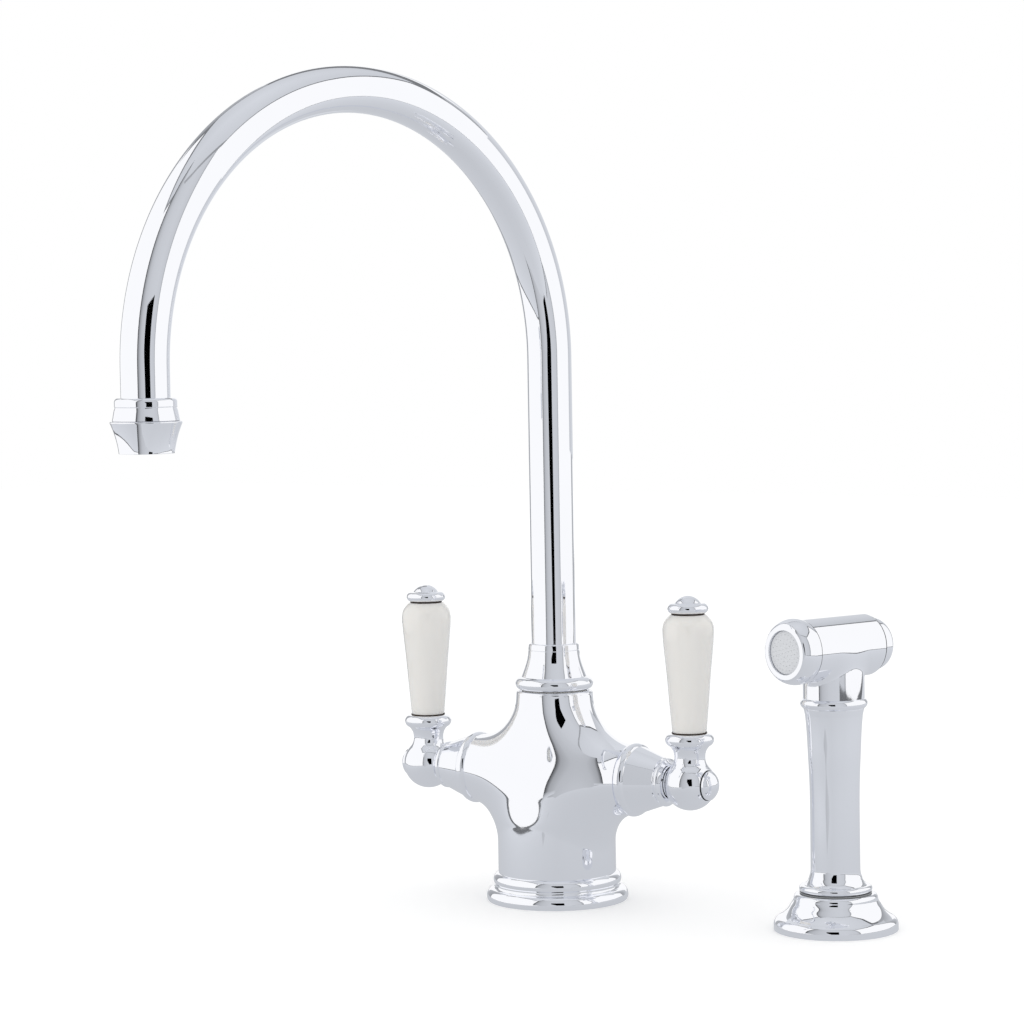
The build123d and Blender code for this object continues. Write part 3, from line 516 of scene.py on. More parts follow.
def add_node(tree: bpy.types.NodeTree, kind: str, settings: dict[str, object] | None = None,
             **links: object) -> bpy.types.Node:
    """Add one shader node.

    Args:
        tree: the material's or world's nodes.
        kind: Blender's name of the node type.
        settings: attributes of the node.
        links: input name, with _ for a space, or i and its number, to a value or to the output
            socket that drives it.

    Returns:
        The new node.
    """
    node = tree.nodes.new(kind)
    for key, value in (settings or {}).items():
        setattr(node, key, value)
    for key, value in links.items():
        place = int(key[1:]) if key[0] == "i" and key[1:].isdigit() else key.replace("_", " ")
        if isinstance(value, bpy.types.NodeSocket):
            tree.links.new(value, node.inputs[place])
        else:
            node.inputs[place].default_value = value
    return node


def cleared(owner: bpy.types.Material | bpy.types.World) -> bpy.types.NodeTree:
    """Give a new material or world an empty node tree.

    Args:
        owner: the material or world.

    Returns:
        Its node tree.
    """
    owner.use_nodes = True
    owner.node_tree.nodes.clear()
    return owner.node_tree


CLOUD_GRAINS = 8  # grains across one cloud of colour
ROUGHNESS_DRIFT = 0.25
COAT_ROUGHNESS = 0.03
WAVE_RATE = 20  # radians of the wave texture in one unit of its coordinates
LATHE_RINGS = {"wave_type": "RINGS", "rings_direction": "SPHERICAL"}


@dataclass(frozen=True)
class Finish:
    """What every finish has: a name, a colour and how it takes the light."""

    name: str
    colour: str
    metallic: float = 0.0
    roughness: float = 0.5
    grain_mm: float = 1.0
    grain_depth: float = 0.02
    grain_lift: float = 0.6
    mottle: float = 0.05
    coat: float = 0.0

    def material(self) -> bpy.types.Material:
        """Return the material, made on first use."""
        ready = bpy.data.materials.get(self.name)
        return ready if ready else self.made()

    def made(self) -> bpy.types.Material:
        """Make the material: colour and roughness wander a little, and fine grain lifts it.

        Returns:
            The new material.
        """
        material = bpy.data.materials.new(self.name)
        tree = cleared(material)
        place = add_node(tree, "ShaderNodeTexCoord").outputs["Object"]
        clouds = add_node(tree, "ShaderNodeTexNoise", Vector=place, Detail=3.0, Roughness=0.55,
                          Scale=PER_METRE / (CLOUD_GRAINS * self.grain_mm)).outputs[0]
        dark, light = ((*(min(1.0, part * drift) for part in linear(self.colour)[:3]), 1.0)
                       for drift in (1 - self.mottle, 1 + self.mottle))
        colour = add_node(tree, "ShaderNodeMix", {"data_type": "RGBA"},
                          i0=clouds, i6=dark, i7=light)
        roughness = add_node(tree, "ShaderNodeMapRange", Value=clouds,
                             To_Min=self.roughness * (1 - ROUGHNESS_DRIFT),
                             To_Max=self.roughness * (1 + ROUGHNESS_DRIFT))
        bump = add_node(tree, "ShaderNodeBump", Height=self.grain(tree, place),
                        Distance=self.grain_depth * MM, Strength=self.grain_lift)
        shader = add_node(tree, "ShaderNodeBsdfPrincipled", Metallic=self.metallic,
                          Base_Color=colour.outputs[2], Roughness=roughness.outputs[0],
                          Normal=bump.outputs["Normal"], Coat_Weight=self.coat,
                          Coat_Roughness=COAT_ROUGHNESS)
        self.tuned(shader)
        add_node(tree, "ShaderNodeOutputMaterial", Surface=shader.outputs["BSDF"])
        return material

    def grain(self, tree: bpy.types.NodeTree, place: Socket) -> Socket:
        """Height of the fine grain."""
        return add_node(tree, "ShaderNodeTexNoise", Vector=place, Detail=4.0,
                        Scale=PER_METRE / self.grain_mm).outputs[0]

    def tuned(self, shader: bpy.types.Node) -> None:
        """Set what only this kind of finish has."""


@dataclass(frozen=True)
class TurnedMetal(Finish):
    """Metal off the lathe, with rings of faint tool marks a millimetre or two apart."""

    metallic: float = 1.0
    grain_lift: float = 0.35
    radian_mm: float = 0.25

    def grain(self, tree: bpy.types.NodeTree, place: Socket) -> Socket:
        """Height of the turning marks."""
        return add_node(tree, "ShaderNodeTexWave", LATHE_RINGS, Vector=place, Distortion=1.5,
                        Detail=2.0, Scale=PER_METRE / (WAVE_RATE * self.radian_mm)).outputs["Fac"]


@dataclass(frozen=True)
class Porcelain(Finish):
    """Fired and glazed porcelain: a clear hard glaze over a body that light enters a little."""

    coat: float = 1.0

    def tuned(self, shader: bpy.types.Node) -> None:
        """Let light into the body under the glaze.

        Args:
            shader: the material's shader.
        """
        shader.inputs["Subsurface Weight"].default_value = 0.12
        shader.inputs["Subsurface Radius"].default_value = (0.004, 0.0035, 0.003)
        shader.inputs["Subsurface Scale"].default_value = 0.5


# Bright chromium over polished nickel and brass: a mirror with a trace of blue.
POLISHED_CHROME_PLATE = Finish("polished_chrome_plate", "#F9FAFE", metallic=1.0, roughness=0.035,
                               grain_mm=3.0, grain_depth=0.0006, mottle=0.01)
# Cast and machined brass, left bare where it is inside: warm yellow with turning marks.
MACHINED_BRASS = TurnedMetal("machined_brass", "#D9B56B", roughness=0.28, grain_depth=0.01)
# Stainless steel screws and springs: cooler and duller than the plating.
TURNED_STAINLESS_STEEL = TurnedMetal("turned_stainless_steel", "#B9BCC0", roughness=0.3,
                                     grain_depth=0.01, radian_mm=0.4)
# Glazed porcelain: warm white, mirror-smooth glaze.
GLAZED_PORCELAIN = Porcelain("glazed_porcelain", "#E7E5E1", roughness=0.22, grain_mm=2.5,
                             grain_depth=0.002, mottle=0.015)
# Sintered and lapped alumina of the valve discs: cream white with a silky face.
LAPPED_ALUMINA = Finish("lapped_alumina", "#EDEAE0", roughness=0.2, grain_mm=0.2, grain_depth=0.002)
# Nitrile rubber seals: matt black, slightly bloomed.
MOULDED_RUBBER = Finish("moulded_rubber", "#1C1C1D", roughness=0.62, grain_mm=0.3, mottle=0.2)
# Vulcanised fibre washers beside the porcelain: dark brown pressed sheet.
VULCANISED_FIBRE = Finish("vulcanised_fibre", "#35271F", roughness=0.7, grain_mm=0.25, mottle=0.25)
# Injection-moulded acetal of the liner and the aerator: grey, with a faint spark texture.
GREY_ACETAL = Finish("grey_acetal", "#8E9092", roughness=0.4, grain_mm=0.2, mottle=0.06)
# The spray face is the same resin in a paler grey, blasted to an even frost.
FROSTED_ACETAL = Finish("frosted_acetal", "#D6D8DC", roughness=0.34, grain_mm=0.25, mottle=0.03)
# The same resin unpigmented, in the thrust washer.
WHITE_ACETAL = Finish("white_acetal", "#E6E6E2", roughness=0.4, grain_mm=0.2)

FINISH_OF_SLOT: dict[str, Finish] = {
    "chromed_brass": POLISHED_CHROME_PLATE, "plain_brass": MACHINED_BRASS,
    "porcelain": GLAZED_PORCELAIN, "ceramic": LAPPED_ALUMINA, "rubber": MOULDED_RUBBER,
    "fibre": VULCANISED_FIBRE, "plastic_grey": GREY_ACETAL, "plastic_white": WHITE_ACETAL,
    "steel": TURNED_STAINLESS_STEEL,
}


class Body(Enum):
    """What a piece moves with."""

    TAP = "tap"
    SPOUT = "spout"
    LEFT_LEVER = "left_lever"
    RIGHT_LEVER = "right_lever"
    HANDSET = "handset"
    BUTTON = "button"


def dress(piece: bpy.types.Object, body: Body, *nodes: str, slot: str = "chromed_brass",
          finish: Finish | None = None) -> None:
    """Give a piece its finish and its place in the frame.

    Args:
        piece: the new piece.
        body: what it moves with.
        nodes: the solids it stands for.
        slot: the record's material slot.
        finish: its finish, where that isn't the one of its slot.
    """
    piece.data.materials.clear()
    piece.data.materials.append((finish or FINISH_OF_SLOT[slot]).material())
    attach(piece, body.value)
    if nodes:
        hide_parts(*nodes)
    log.info("%s: %d faces, rides on %s", piece.name, len(piece.data.polygons), body.value)


# ---- the tap ----

ARM_HEIGHT = 60.2
SPRAY_OFFSET = 151.0


@dataclass
class DeckFlange:
    """Stepped flange under the body: a rounded lower step, a cove and a bead."""

    radius: float = 33.8
    inner: float = 26.1
    top: float = 13.3
    recess: float = 30.05

    def build(self) -> None:
        """Build the flange."""
        rim = self.radius - 0.6
        outline = Outline((self.inner, self.top), (self.inner, 2.0), (self.recess, 2.0),
                          (self.recess, 0.0), (rim, 0.0))
        outline.arc((self.radius, 2.0), (rim, 4.3))
        outline.arc((self.radius - 1.6, 5.5), (30.6, 6.1))
        outline.arc((29.9, 7.2), (30.1, 8.2))
        outline.arc((30.4, 10.9), (28.1, self.top))
        dress(turned("deck_flange", outline, placed(), 160), Body.TAP, "base_flange")


@dataclass
class BodyCasting:
    """Cast body: barrel, drawn-in shoulder and neck, with two level arms blended in."""

    barrel: float = 28.1
    foot_height: float = 13.3
    shoulder_height: float = 38.0
    waist: tuple[Point, ...] = ((27.17, 50.0), (26.6, 60.0), (23.38, 72.0), (20.44, 86.0))
    slim: float = 0.829
    slim_height: float = 76.9
    slim_below: float = 19.0
    slim_above: float = 14.15
    neck: float = 18.3
    top: float = 100.4
    edge: float = 1.4
    arm: float = 16.2
    arm_height: float = ARM_HEIGHT
    arm_end: float = 42.4
    blend: float = 19.7
    cell: float = 0.85
    overlap: float = 3.0
    holes: tuple[tuple[Point, float], ...] = (
        ((-15.5, 0), 4.5), ((15.5, 0), 4.5), ((0, 13), 4.5), ((0, -13), 3.4))
    hole_depth: float = 11.5

    def wall(self) -> np.ndarray:
        """Work out the outline of the upright core.

        Returns:
            Radius and height, closely sampled, one pair a row.
        """
        knots = np.array([(self.barrel, self.shoulder_height), *self.waist,
                          (self.neck, self.top - self.edge)])
        drawn_in = smooth_curve(knots, (0, 1), (-0.05, 1), 900)
        straight = np.array([(self.barrel, -50.0)])
        neck = np.array([(self.neck, self.top + 50)])
        return np.concatenate((straight, drawn_in, neck))

    def field(self) -> Field:
        """Describe the surface of the casting, whose waist is slimmer from front to back.

        Returns:
            Its distance field.
        """
        wall = self.wall()
        lean = np.gradient(wall[:, 0], wall[:, 1])

        def distance(spots: np.ndarray) -> np.ndarray:
            """Distance of each point from the surface.

            Args:
                spots: points in mm, one a row.

            Returns:
                The distances in mm, below zero inside.
            """
            height = spots[:, 2]
            reach = np.where(height < self.slim_height, self.slim_below, self.slim_above)
            oval = self.slim ** -np.exp(-((height - self.slim_height) / reach) ** 2)
            radius = np.hypot(spots[:, 0], spots[:, 1] * oval)
            slant = np.interp(height, wall[:, 1], lean)
            core = (radius - np.interp(height, wall[:, 1], wall[:, 0])) / np.hypot(1, slant)
            core = round_corner(core, height - self.top, self.edge)
            arms = np.hypot(spots[:, 1], height - self.arm_height) - self.arm
            arms = np.maximum(arms, np.abs(spots[:, 0]) - self.arm_end - self.overlap)
            both = round_union(core, arms, self.blend)
            return np.maximum(both, self.foot_height - self.overlap - height)

        return distance

    def rough(self) -> bpy.types.Object:
        """Put plain solids together near the casting's surface.

        Returns:
            One object of overlapping closed solids.
        """
        work = bmesh.new()
        foot = self.foot_height - self.overlap
        core = Outline((0, foot), (self.barrel, foot), (self.barrel, self.shoulder_height),
                       *self.waist, (self.neck, self.top - self.edge),
                       (self.neck - self.edge, self.top), (0, self.top))
        add_turning(work, core, placed(), 64)
        reach = self.arm_end + self.overlap
        add_turning(work, rod(self.arm, 0, 2 * reach),
                    placed((-reach, 0, self.arm_height), (1, 0, 0)), 64)
        return finished_mesh("body_rough", work)

    def build(self) -> None:
        """Build the casting, its bores and the face that stands on the gasket."""
        field = self.field()
        skin = skinned("body_casting", self.rough(), field, self.cell)
        chamber = Outline((0, 51), (7.5, 51), (7.5, 57), (9, 57), (9, 84), (12, 84), (12, 110),
                          (0, 110))
        cutters = [(chamber, placed()), (rod(40, -5, self.foot_height), placed())]
        for sign in (-1, 1):
            valve = Outline((0, 24.5), (10.05, 24.5), (10.05, self.arm_end), (30, self.arm_end),
                            (30, 60), (0, 60))
            cutters.append((valve, placed((0, 0, self.arm_height), (sign, 0, 0))))
        cutters.append((rod(2.0, 11, 30), placed((0, 0, 88.5), (0, 1, 0))))
        bored(skin, cutters, field)
        dress(skin, Body.TAP, "body")
        self.build_foot()

    def build_foot(self) -> None:
        """Build the spigot that stands inside the flange, with its four threaded holes."""
        foot = turned("body_foot", rod(26.0, 2.0, self.foot_height), placed(), 96, 0)
        cut_away(foot, [turned("hole_cutter", rod(radius, 0, self.hole_depth),
                               placed((x, y, 0)), 48, 0) for (x, y), radius in self.holes])
        shade_crisp(foot.data)
        dress(foot, Body.TAP, "body", slot="plain_brass")


@dataclass
class Bonnet:
    """Bonnet between an arm and its lever: a bead, a cone and a rolled lip."""

    side: str
    sign: int
    height: float = ARM_HEIGHT

    def build(self) -> None:
        """Build the bonnet."""
        outline = Outline((13.1, 42.4), (15.8, 42.4))
        outline.arc((17.3, 45.1), (15.7, 47.8)).line((11.2, 60.6), (10.6, 61.0), (10.6, 61.4))
        outline.arc((11.3, 62.6), (10.6, 63.7)).line((9.7, 64.6), (7.6, 64.6), (7.6, 58.2))
        outline.line((9.05, 58.2), (9.05, 46.5), (13.1, 46.5))
        piece = turned(f"{self.side}_bonnet_shell", outline,
                       placed((0, 0, self.height), (self.sign, 0, 0)))
        dress(piece, Body.TAP, f"{self.side}_bonnet")


@dataclass
class Lever:
    """Cross lever on one arm: ball hub, porcelain grip, finial and index cap."""

    side: str
    sign: int
    body: Body
    offset: float = 75.0
    height: float = ARM_HEIGHT
    ball: float = 12.15

    def upright(self) -> Matrix:
        """Place of what is turned about the lever's own axis."""
        return placed((self.sign * self.offset, 0, self.height))

    def level(self) -> Matrix:
        """Place of what is turned about the arm's axis."""
        return placed((0, 0, self.height), (self.sign, 0, 0))

    def on_ball(self, along: float) -> Point:
        """Point of the ball at a distance along the arm."""
        from_centre = along - self.offset
        return math.sqrt(self.ball ** 2 - from_centre ** 2), along

    def build(self) -> None:
        """Build the visible pieces."""
        self.build_hub()
        cap = Outline((0, 81.3), (4.75, 81.3), (4.75, 84.6), (6.8, 84.6), (6.8, 86.0))
        cap.arc((4.9, 87.75), (0, 89.3))
        dress(turned(f"{self.side}_cap_dome", cap, self.level(), 96), self.body,
              f"{self.side}_index_cap")
        seal = Outline((6.4, 84.55), (7.05, 84.55), (7.05, 84.9), (6.4, 84.9))
        dress(turned(f"{self.side}_cap_seal", seal, self.level(), 96, 0.08), self.body,
              slot="rubber")
        grip = Outline((3.2, 79.0), (3.2, 24.4), (7.95, 24.4))
        grip.curve((9.35, 40.4), (10.26, 51.6), (11.35, 62.8), (11.9, 71.2), (11.34, 75.3),
                   (9.6, 77.8), (8.1, 79.0), leave=(0.09, 1), arrive=(-1, 0.45))
        dress(turned(f"{self.side}_porcelain_grip", grip, self.upright()), self.body,
              f"{self.side}_porcelain", slot="porcelain")
        finial = Outline((0, 79.6), (7.6, 79.6)).arc((9.5, 81.9), (6.7, 84.2))
        finial.arc((6.1, 84.35), (5.8, 84.7), 5).arc((3.9, 86.5), (0, 87.7))
        dress(turned(f"{self.side}_finial_nut", finial, self.upright(), 96), self.body,
              f"{self.side}_finial")

    def build_hub(self) -> None:
        """Build the hub: ball with two flats, boss, waisted neck and ring."""
        ball = Outline((0, 78.0), (4.8, 78.0), (4.8, 84.6), self.on_ball(84.6))
        ball.arc((self.ball, self.offset), self.on_ball(66.0), 48)
        ball.line((7.3, 66.0), (7.3, 62.0), (3.95, 62.0), (3.95, 74.9), (0, 74.9))
        stem = Outline((0, 5.0), (8.4, 7.0), (8.9, 8.27))
        stem.curve((7.62, 10.2), (7.2, 12.8), (7.75, 15.7), (9.45, 18.0),
                   leave=(-0.65, 0.76), arrive=(0.95, 0.8))
        stem.arc((11.35, 20.9), (9.45, 23.8), 20).line((0, 23.8))
        work = bmesh.new()
        add_turning(work, ball.eased(0.2), self.level(), 128)
        add_turning(work, stem.eased(0.15), self.upright(), 128)
        dress(finished_mesh(f"{self.side}_hub_ball", work), self.body, f"{self.side}_hub")


@dataclass
class Spout:
    """Arched tube with the shroud around its foot."""

    reach: float = 242.0
    turn: float = 10.3
    tube: float = 10.5
    wall: float = 1.2
    total_height: float = 390.0
    foot: float = 103.0
    leg_end: float = 241.5
    riser_steps: int = 40
    arch_steps: int = 160
    leg_steps: int = 8

    def way(self) -> Vector:
        """Level direction from the tap to the outlet."""
        angle = math.radians(self.turn)
        return Vector((-math.sin(angle), -math.cos(angle), 0))

    def outlet_centre(self) -> Vector:
        """Foot of the outlet's axis on the worktop."""
        return self.way() * self.reach

    def build(self) -> None:
        """Build the tube and the shroud."""
        way, up, arch = self.way(), Vector((0, 0, 1)), self.reach / 2
        spring = self.total_height - self.tube - arch
        path = [up * (self.foot + (spring - self.foot) * i / self.riser_steps)
                for i in range(self.riser_steps)]
        for i in range(self.arch_steps + 1):
            angle = math.pi * i / self.arch_steps
            path.append(way * (arch - arch * math.cos(angle))
                        + up * (spring + arch * math.sin(angle)))
        path += [way * self.reach + up * (spring + (self.leg_end - spring) * i / self.leg_steps)
                 for i in range(1, self.leg_steps + 1)]
        tube = swept_tube("arched_tube", path, self.tube, self.tube - self.wall, way.cross(up))
        dress(tube, Body.SPOUT, "spout_tube")
        shroud = Outline((12.0, 103.0), (12.0, 100.9), (16.75, 100.9))
        shroud.arc((18.55, 103.9), (16.35, 106.7), 18).line((15.65, 106.9))
        shroud.curve((14.68, 109.4), (13.62, 112.3), (12.8, 115.1), (12.27, 118.0),
                     (12.14, 119.4), leave=(-0.42, 1), arrive=(-0.06, 1))
        shroud.line((12.02, 119.5), (12.02, 119.62), (12.12, 119.72), (11.9, 121.9))
        shroud.arc((11.6, 122.6), (11.0, 122.8), 6).line((10.55, 122.8), (10.55, 103.0))
        dress(turned("foot_shroud", shroud, placed()), Body.SPOUT, "spout_shroud")


@dataclass
class Outlet:
    """Flared outlet at the end of the tube: a collar, and the housing of the aerator."""

    centre: Vector
    foot: float = 222.9

    def build(self) -> None:
        """Build the collar and the housing."""
        place = placed((self.centre.x, self.centre.y, self.foot))
        collar = Outline((10.55, 23.3), (10.55, 18.0), (11.5, 18.0), (11.5, 13.7), (14.3, 13.7))
        collar.line((13.95, 15.5), (13.5, 18.0), (13.05, 19.2), (13.05, 19.4), (13.27, 19.65))
        collar.line((13.25, 21.2)).arc((12.86, 22.7), (11.95, 23.3), 8)
        dress(turned("outlet_ring", collar, place), Body.SPOUT, "outlet_collar")
        skirt = Outline((9.0, 0), (11.8, 0))
        skirt.curve((12.06, 2.0), (12.5, 4.3), (13.08, 6.7), (13.87, 9.3), (15.25, 12.9),
                    leave=(0.08, 1), arrive=(0.42, 1))
        skirt.arc((15.2, 13.35), (14.65, 13.5), 5).line((14.05, 13.7), (11.45, 13.7))
        skirt.line((11.45, 18.0), (9.9, 18.0), (9.9, 2.1), (9.0, 2.1))
        dress(turned("aerator_skirt", skirt, place), Body.SPOUT, "aerator_housing")


# ---- the spray ----

@dataclass
class SprayHolder:
    """Bell-shaped holder on the worktop."""

    offset: float = SPRAY_OFFSET

    def build(self) -> None:
        """Build the holder."""
        outline = Outline((14.05, 16.6), (14.05, 0), (18.95, 0), (18.95, 1.5), (25.05, 1.5),
                          (25.05, 0), (28.0, 0), (28.0, 1.8))
        outline.arc((27.55, 4.2), (26.3, 5.6), 8)
        outline.curve((23.4, 7.5), (21.5, 9.5), (20.3, 11.5), (18.9, 14.3),
                      leave=(-1, 0.5), arrive=(-0.1, 1))
        outline.arc((18.4, 15.9), (17.6, 16.6), 8)
        dress(turned("spray_bell", outline, placed((self.offset, 0, 0)), 160), Body.TAP,
              "spray_holder")


@dataclass
class Handset:
    """Spray handset: foot ring, slender grip, bead, head with its bezel, and the push button."""

    offset: float = SPRAY_OFFSET
    turn: float = 17.0
    head_height: float = 127.3
    head: float = 13.9
    stub: float = 13.8
    half_length: float = 20.4
    bore: float = 12.2
    edge: float = 1.2
    blend: float = 2.5
    collar_top: float = 104.8
    overlap: float = 2.0
    jet: float = 0.17
    jet_rings: int = 5
    jet_pitch: float = 2.0
    cell: float = 0.6

    def way(self) -> tuple[float, float, float]:
        """Level direction that the head faces."""
        angle = math.radians(self.turn)
        return -math.sin(angle), -math.cos(angle), 0.0

    def head_centre(self) -> Vector:
        """Middle of the head, on the handset's axis."""
        return Vector((self.offset, 0, self.head_height))

    def build(self) -> None:
        """Build the pieces from the foot up."""
        upright = placed((self.offset, 0, 0))
        foot = Outline((0, 26.4), (9.15, 26.4), (9.15, 20.4), (14.2, 20.4))
        foot.arc((16.4, 18.4), (15.5, 17.3), 14).line((12.3, 17.3), (12.3, 3.0), (8.05, 3.0))
        foot.line((8.05, 15.0), (0, 15.0))
        dress(turned("handset_foot", foot, upright), Body.HANDSET, "spray_foot")
        grip = Outline((9.2, 100.4), (9.2, 20.4), (14.2, 20.4)).arc((12.6, 22.0), (11.9, 23.8), 8)
        grip.arc((11.337, 25.6), (11.16, 27.4), 8)
        grip.curve((11.13, 34.0), (11.11, 43.0), (11.1, 53.0), (11.35, 69.0), (11.85, 80.0),
                   (12.4, 91.0), (13.0, 97.6), leave=(-0.006, 1), arrive=(0.12, 1))
        grip.line((13.7, 100.4))
        dress(turned("slender_grip", grip, upright), Body.HANDSET, "spray_grip")
        bead = Outline((9.2, 104.8), (9.2, 100.4), (13.8, 100.4))
        bead.arc((15.1, 102.6), (13.8, 104.8), 16)
        dress(turned("grip_bead", bead, upright), Body.HANDSET, "spray_collar")
        self.build_head()
        self.build_bezel_and_button()
        self.build_face()

    def field(self) -> Field:
        """Describe the surface of the head.

        Returns:
            Its distance field.
        """
        centre = (self.offset, 0, self.head_height)
        way = axis_of(self.way())

        def distance(spots: np.ndarray) -> np.ndarray:
            """Distance of each point from the surface.

            Args:
                spots: points in mm, one a row.

            Returns:
                The distances in mm, below zero inside.
            """
            along = (spots - np.array(centre)) @ way
            barrel = radius_from(spots, centre, way) - self.head
            barrel = round_corner(barrel, -self.half_length - along, self.edge)
            barrel = np.maximum(barrel, along - self.half_length - self.overlap)
            stub = radius_from(spots, centre, (0, 0, 1)) - self.stub
            stub = np.maximum(stub, spots[:, 2] - self.head_height)
            stub = np.maximum(stub, self.collar_top - self.overlap - spots[:, 2])
            return round_union(barrel, stub, self.blend)

        return distance

    def build_head(self) -> None:
        """Build the head: a level barrel on an upright stub."""
        field = self.field()
        work = bmesh.new()
        centre, way = self.head_centre(), Vector(self.way())
        upright = placed((self.offset, 0, 0))
        add_turning(work, rod(self.head, 0, 2 * self.half_length + self.overlap),
                    placed(centre - way * self.half_length, way), 64)
        add_turning(work, rod(self.stub, self.collar_top - self.overlap, self.head_height),
                    upright, 64)
        skin = skinned("spray_head_shell", finished_mesh("head_rough", work), field, self.cell)
        through = Outline((0, -30), (self.bore, -30), (self.bore, 20.4), (30, 20.4), (30, 40),
                          (0, 40))
        below = rod(30, 90, self.collar_top)
        bored(skin, [(through, placed(centre, way)), (below, upright)], field)
        dress(skin, Body.HANDSET, "spray_head")

    def build_bezel_and_button(self) -> None:
        """Build the ring around the spray face, and the button behind the head."""
        centre, way = self.head_centre(), Vector(self.way())
        bezel = Outline((9.9, 30.3), (9.9, 27.5), (10.4, 27.5), (10.4, 13.4), (12.15, 13.4),
                        (12.15, 20.4), (14.1, 20.4))
        bezel.curve((14.8, 23.9), (13.95, 28.0), (12.9, 29.8), leave=(0.3, 1), arrive=(-0.8, 1))
        bezel.line((12.1, 30.3))
        front, rear = placed(centre, way), placed(centre, -way)
        dress(turned("bezel_ring", bezel, front), Body.HANDSET, "spray_bezel")
        button = Outline((0, 29.0), (6.9, 29.0)).arc((10.44, 27.54), (11.9, 24.0), 12)
        button.line((11.9, 14.0), (9.4, 14.0), (9.4, 24.0), (4.5, 24.0), (4.5, 17.0), (2.5, 17.0),
                    (2.5, 21.0), (0, 21.0))
        dress(turned("push_button", button, rear, 96), Body.BUTTON, "spray_button")
        seal = Outline((13.2, 20.0), (13.95, 20.0), (13.95, 20.5), (13.2, 20.5))
        dress(turned("bezel_seam_seal", seal, front, ease=0.08), Body.HANDSET, slot="rubber")
        seal = Outline((12.3, 20.02), (13.5, 20.02), (13.5, 20.45), (12.3, 20.45))
        dress(turned("button_seam_seal", seal, rear, ease=0.08), Body.HANDSET, slot="rubber")

    def build_face(self) -> None:
        """Build the frosted disc that the jets come out of, with its rings of fine holes."""
        centre, way = self.head_centre(), Vector(self.way())
        place = placed(centre, way)
        disc = Outline((0, 26.0), (10.3, 26.0), (10.3, 27.5), (9.85, 27.5), (9.85, 29.0))
        disc.arc((9.6, 29.25), (9.2, 29.3), 4).arc((4.7, 29.45), (0, 29.5), 10)
        face = turned("frosted_face", disc, place, 128, 0)
        work = bmesh.new()
        for ring in range(self.jet_rings):
            count = 6 * ring or 1
            for i in range(count):
                angle, out = math.tau * i / count, self.jet_pitch * ring
                spot = place @ Vector((out * math.cos(angle), out * math.sin(angle), 0))
                add_turning(work, rod(self.jet, 25, 31), placed(spot, way), 12)
        cut_away(face, [finished_mesh("jet_cutter", work)])
        shade_crisp(face.data)
        dress(face, Body.HANDSET, "spray_face", slot="plastic_grey", finish=FROSTED_ACETAL)


@dataclass
class CarriedSolids:
    """Solids whose shape is right as it is: they keep their mesh and get a finish."""

    record: dict
    nodes: dict[str, bpy.types.Object]

    def dress(self) -> None:
        """Give every solid that is still shown the finish of its slot."""
        slots = {part["node"]: part["material_slot"] for part in self.record["subparts"]}
        for name, node in sorted(self.nodes.items()):
            if node.hide_render:
                continue
            node.data.materials.clear()
            node.data.materials.append(FINISH_OF_SLOT[slots[name]].material())
            log.info("%s: carried over as %s", name, slots[name])


# ---- floor, light and camera ----

@dataclass(frozen=True)
class Card:
    """Card of the light tent that only shows as a reflection in the chrome.

    Its brightness runs smoothly from each of its posts to the next.
    """

    name: str
    glows: tuple[float, ...]
    tint: str = "#F7FAFF"

    def glow_at(self, post: int) -> float:
        """Brightness at one of the card's posts."""
        return self.glows[min(post, len(self.glows) - 1)]

    def stand(self, work: bmesh.types.BMesh, posts: Sequence[int]) -> None:
        """Put the card up.

        Args:
            work: its sheet, in mm.
            posts: for each corner of the sheet, the post whose brightness it has.
        """
        sheet = finished_mesh(self.name, work)
        glow = sheet.data.attributes.new("glow", "FLOAT", "POINT")
        for corner, post in zip(glow.data, posts):
            corner.value = self.glow_at(post)
        material = bpy.data.materials.new(self.name)
        tree = cleared(material)
        shade = add_node(tree, "ShaderNodeAttribute", {"attribute_name": "glow"})
        light = add_node(tree, "ShaderNodeEmission", Color=linear(self.tint),
                         Strength=shade.outputs["Fac"])
        add_node(tree, "ShaderNodeOutputMaterial", Surface=light.outputs[0])
        sheet.data.materials.append(material)
        sheet.visible_camera = False
        sheet.visible_diffuse = False
        sheet.visible_shadow = False

    def wall(self, plan: Sequence[Point], lows: Sequence[float], tops: Sequence[float],
             foot: Sequence[int] | None = None) -> None:
        """Stand the card upright along a line.

        Args:
            plan: where its posts stand.
            lows: height of its foot at each post.
            tops: height of its head at each post.
            foot: which of the glows each foot has, the one of its post where this is left out.
        """
        work = bmesh.new()
        feet = [work.verts.new((x, y, low)) for (x, y), low in zip(plan, lows)]
        heads = [work.verts.new((x, y, top)) for (x, y), top in zip(plan, tops)]
        for i in range(len(plan) - 1):
            work.faces.new((feet[i], feet[i + 1], heads[i + 1], heads[i]))
        own = [*range(len(plan))]
        self.stand(work, [*(foot or own), *own])

    def bowl(self, rim: Sequence[Point], heights: Sequence[float], centre_height: float) -> None:
        """Lay the card round the object, with its first brightness in the middle.

        Args:
            rim: where its outer corners lie.
            heights: height of each of them.
            centre_height: height of its middle.
        """
        work = bmesh.new()
        centre = work.verts.new((0, 0, centre_height))
        corners = [work.verts.new((x, y, height)) for (x, y), height in zip(rim, heights)]
        for i, corner in enumerate(corners):
            work.faces.new((centre, corners[i - 1], corner))
        self.stand(work, range(len(rim) + 1))


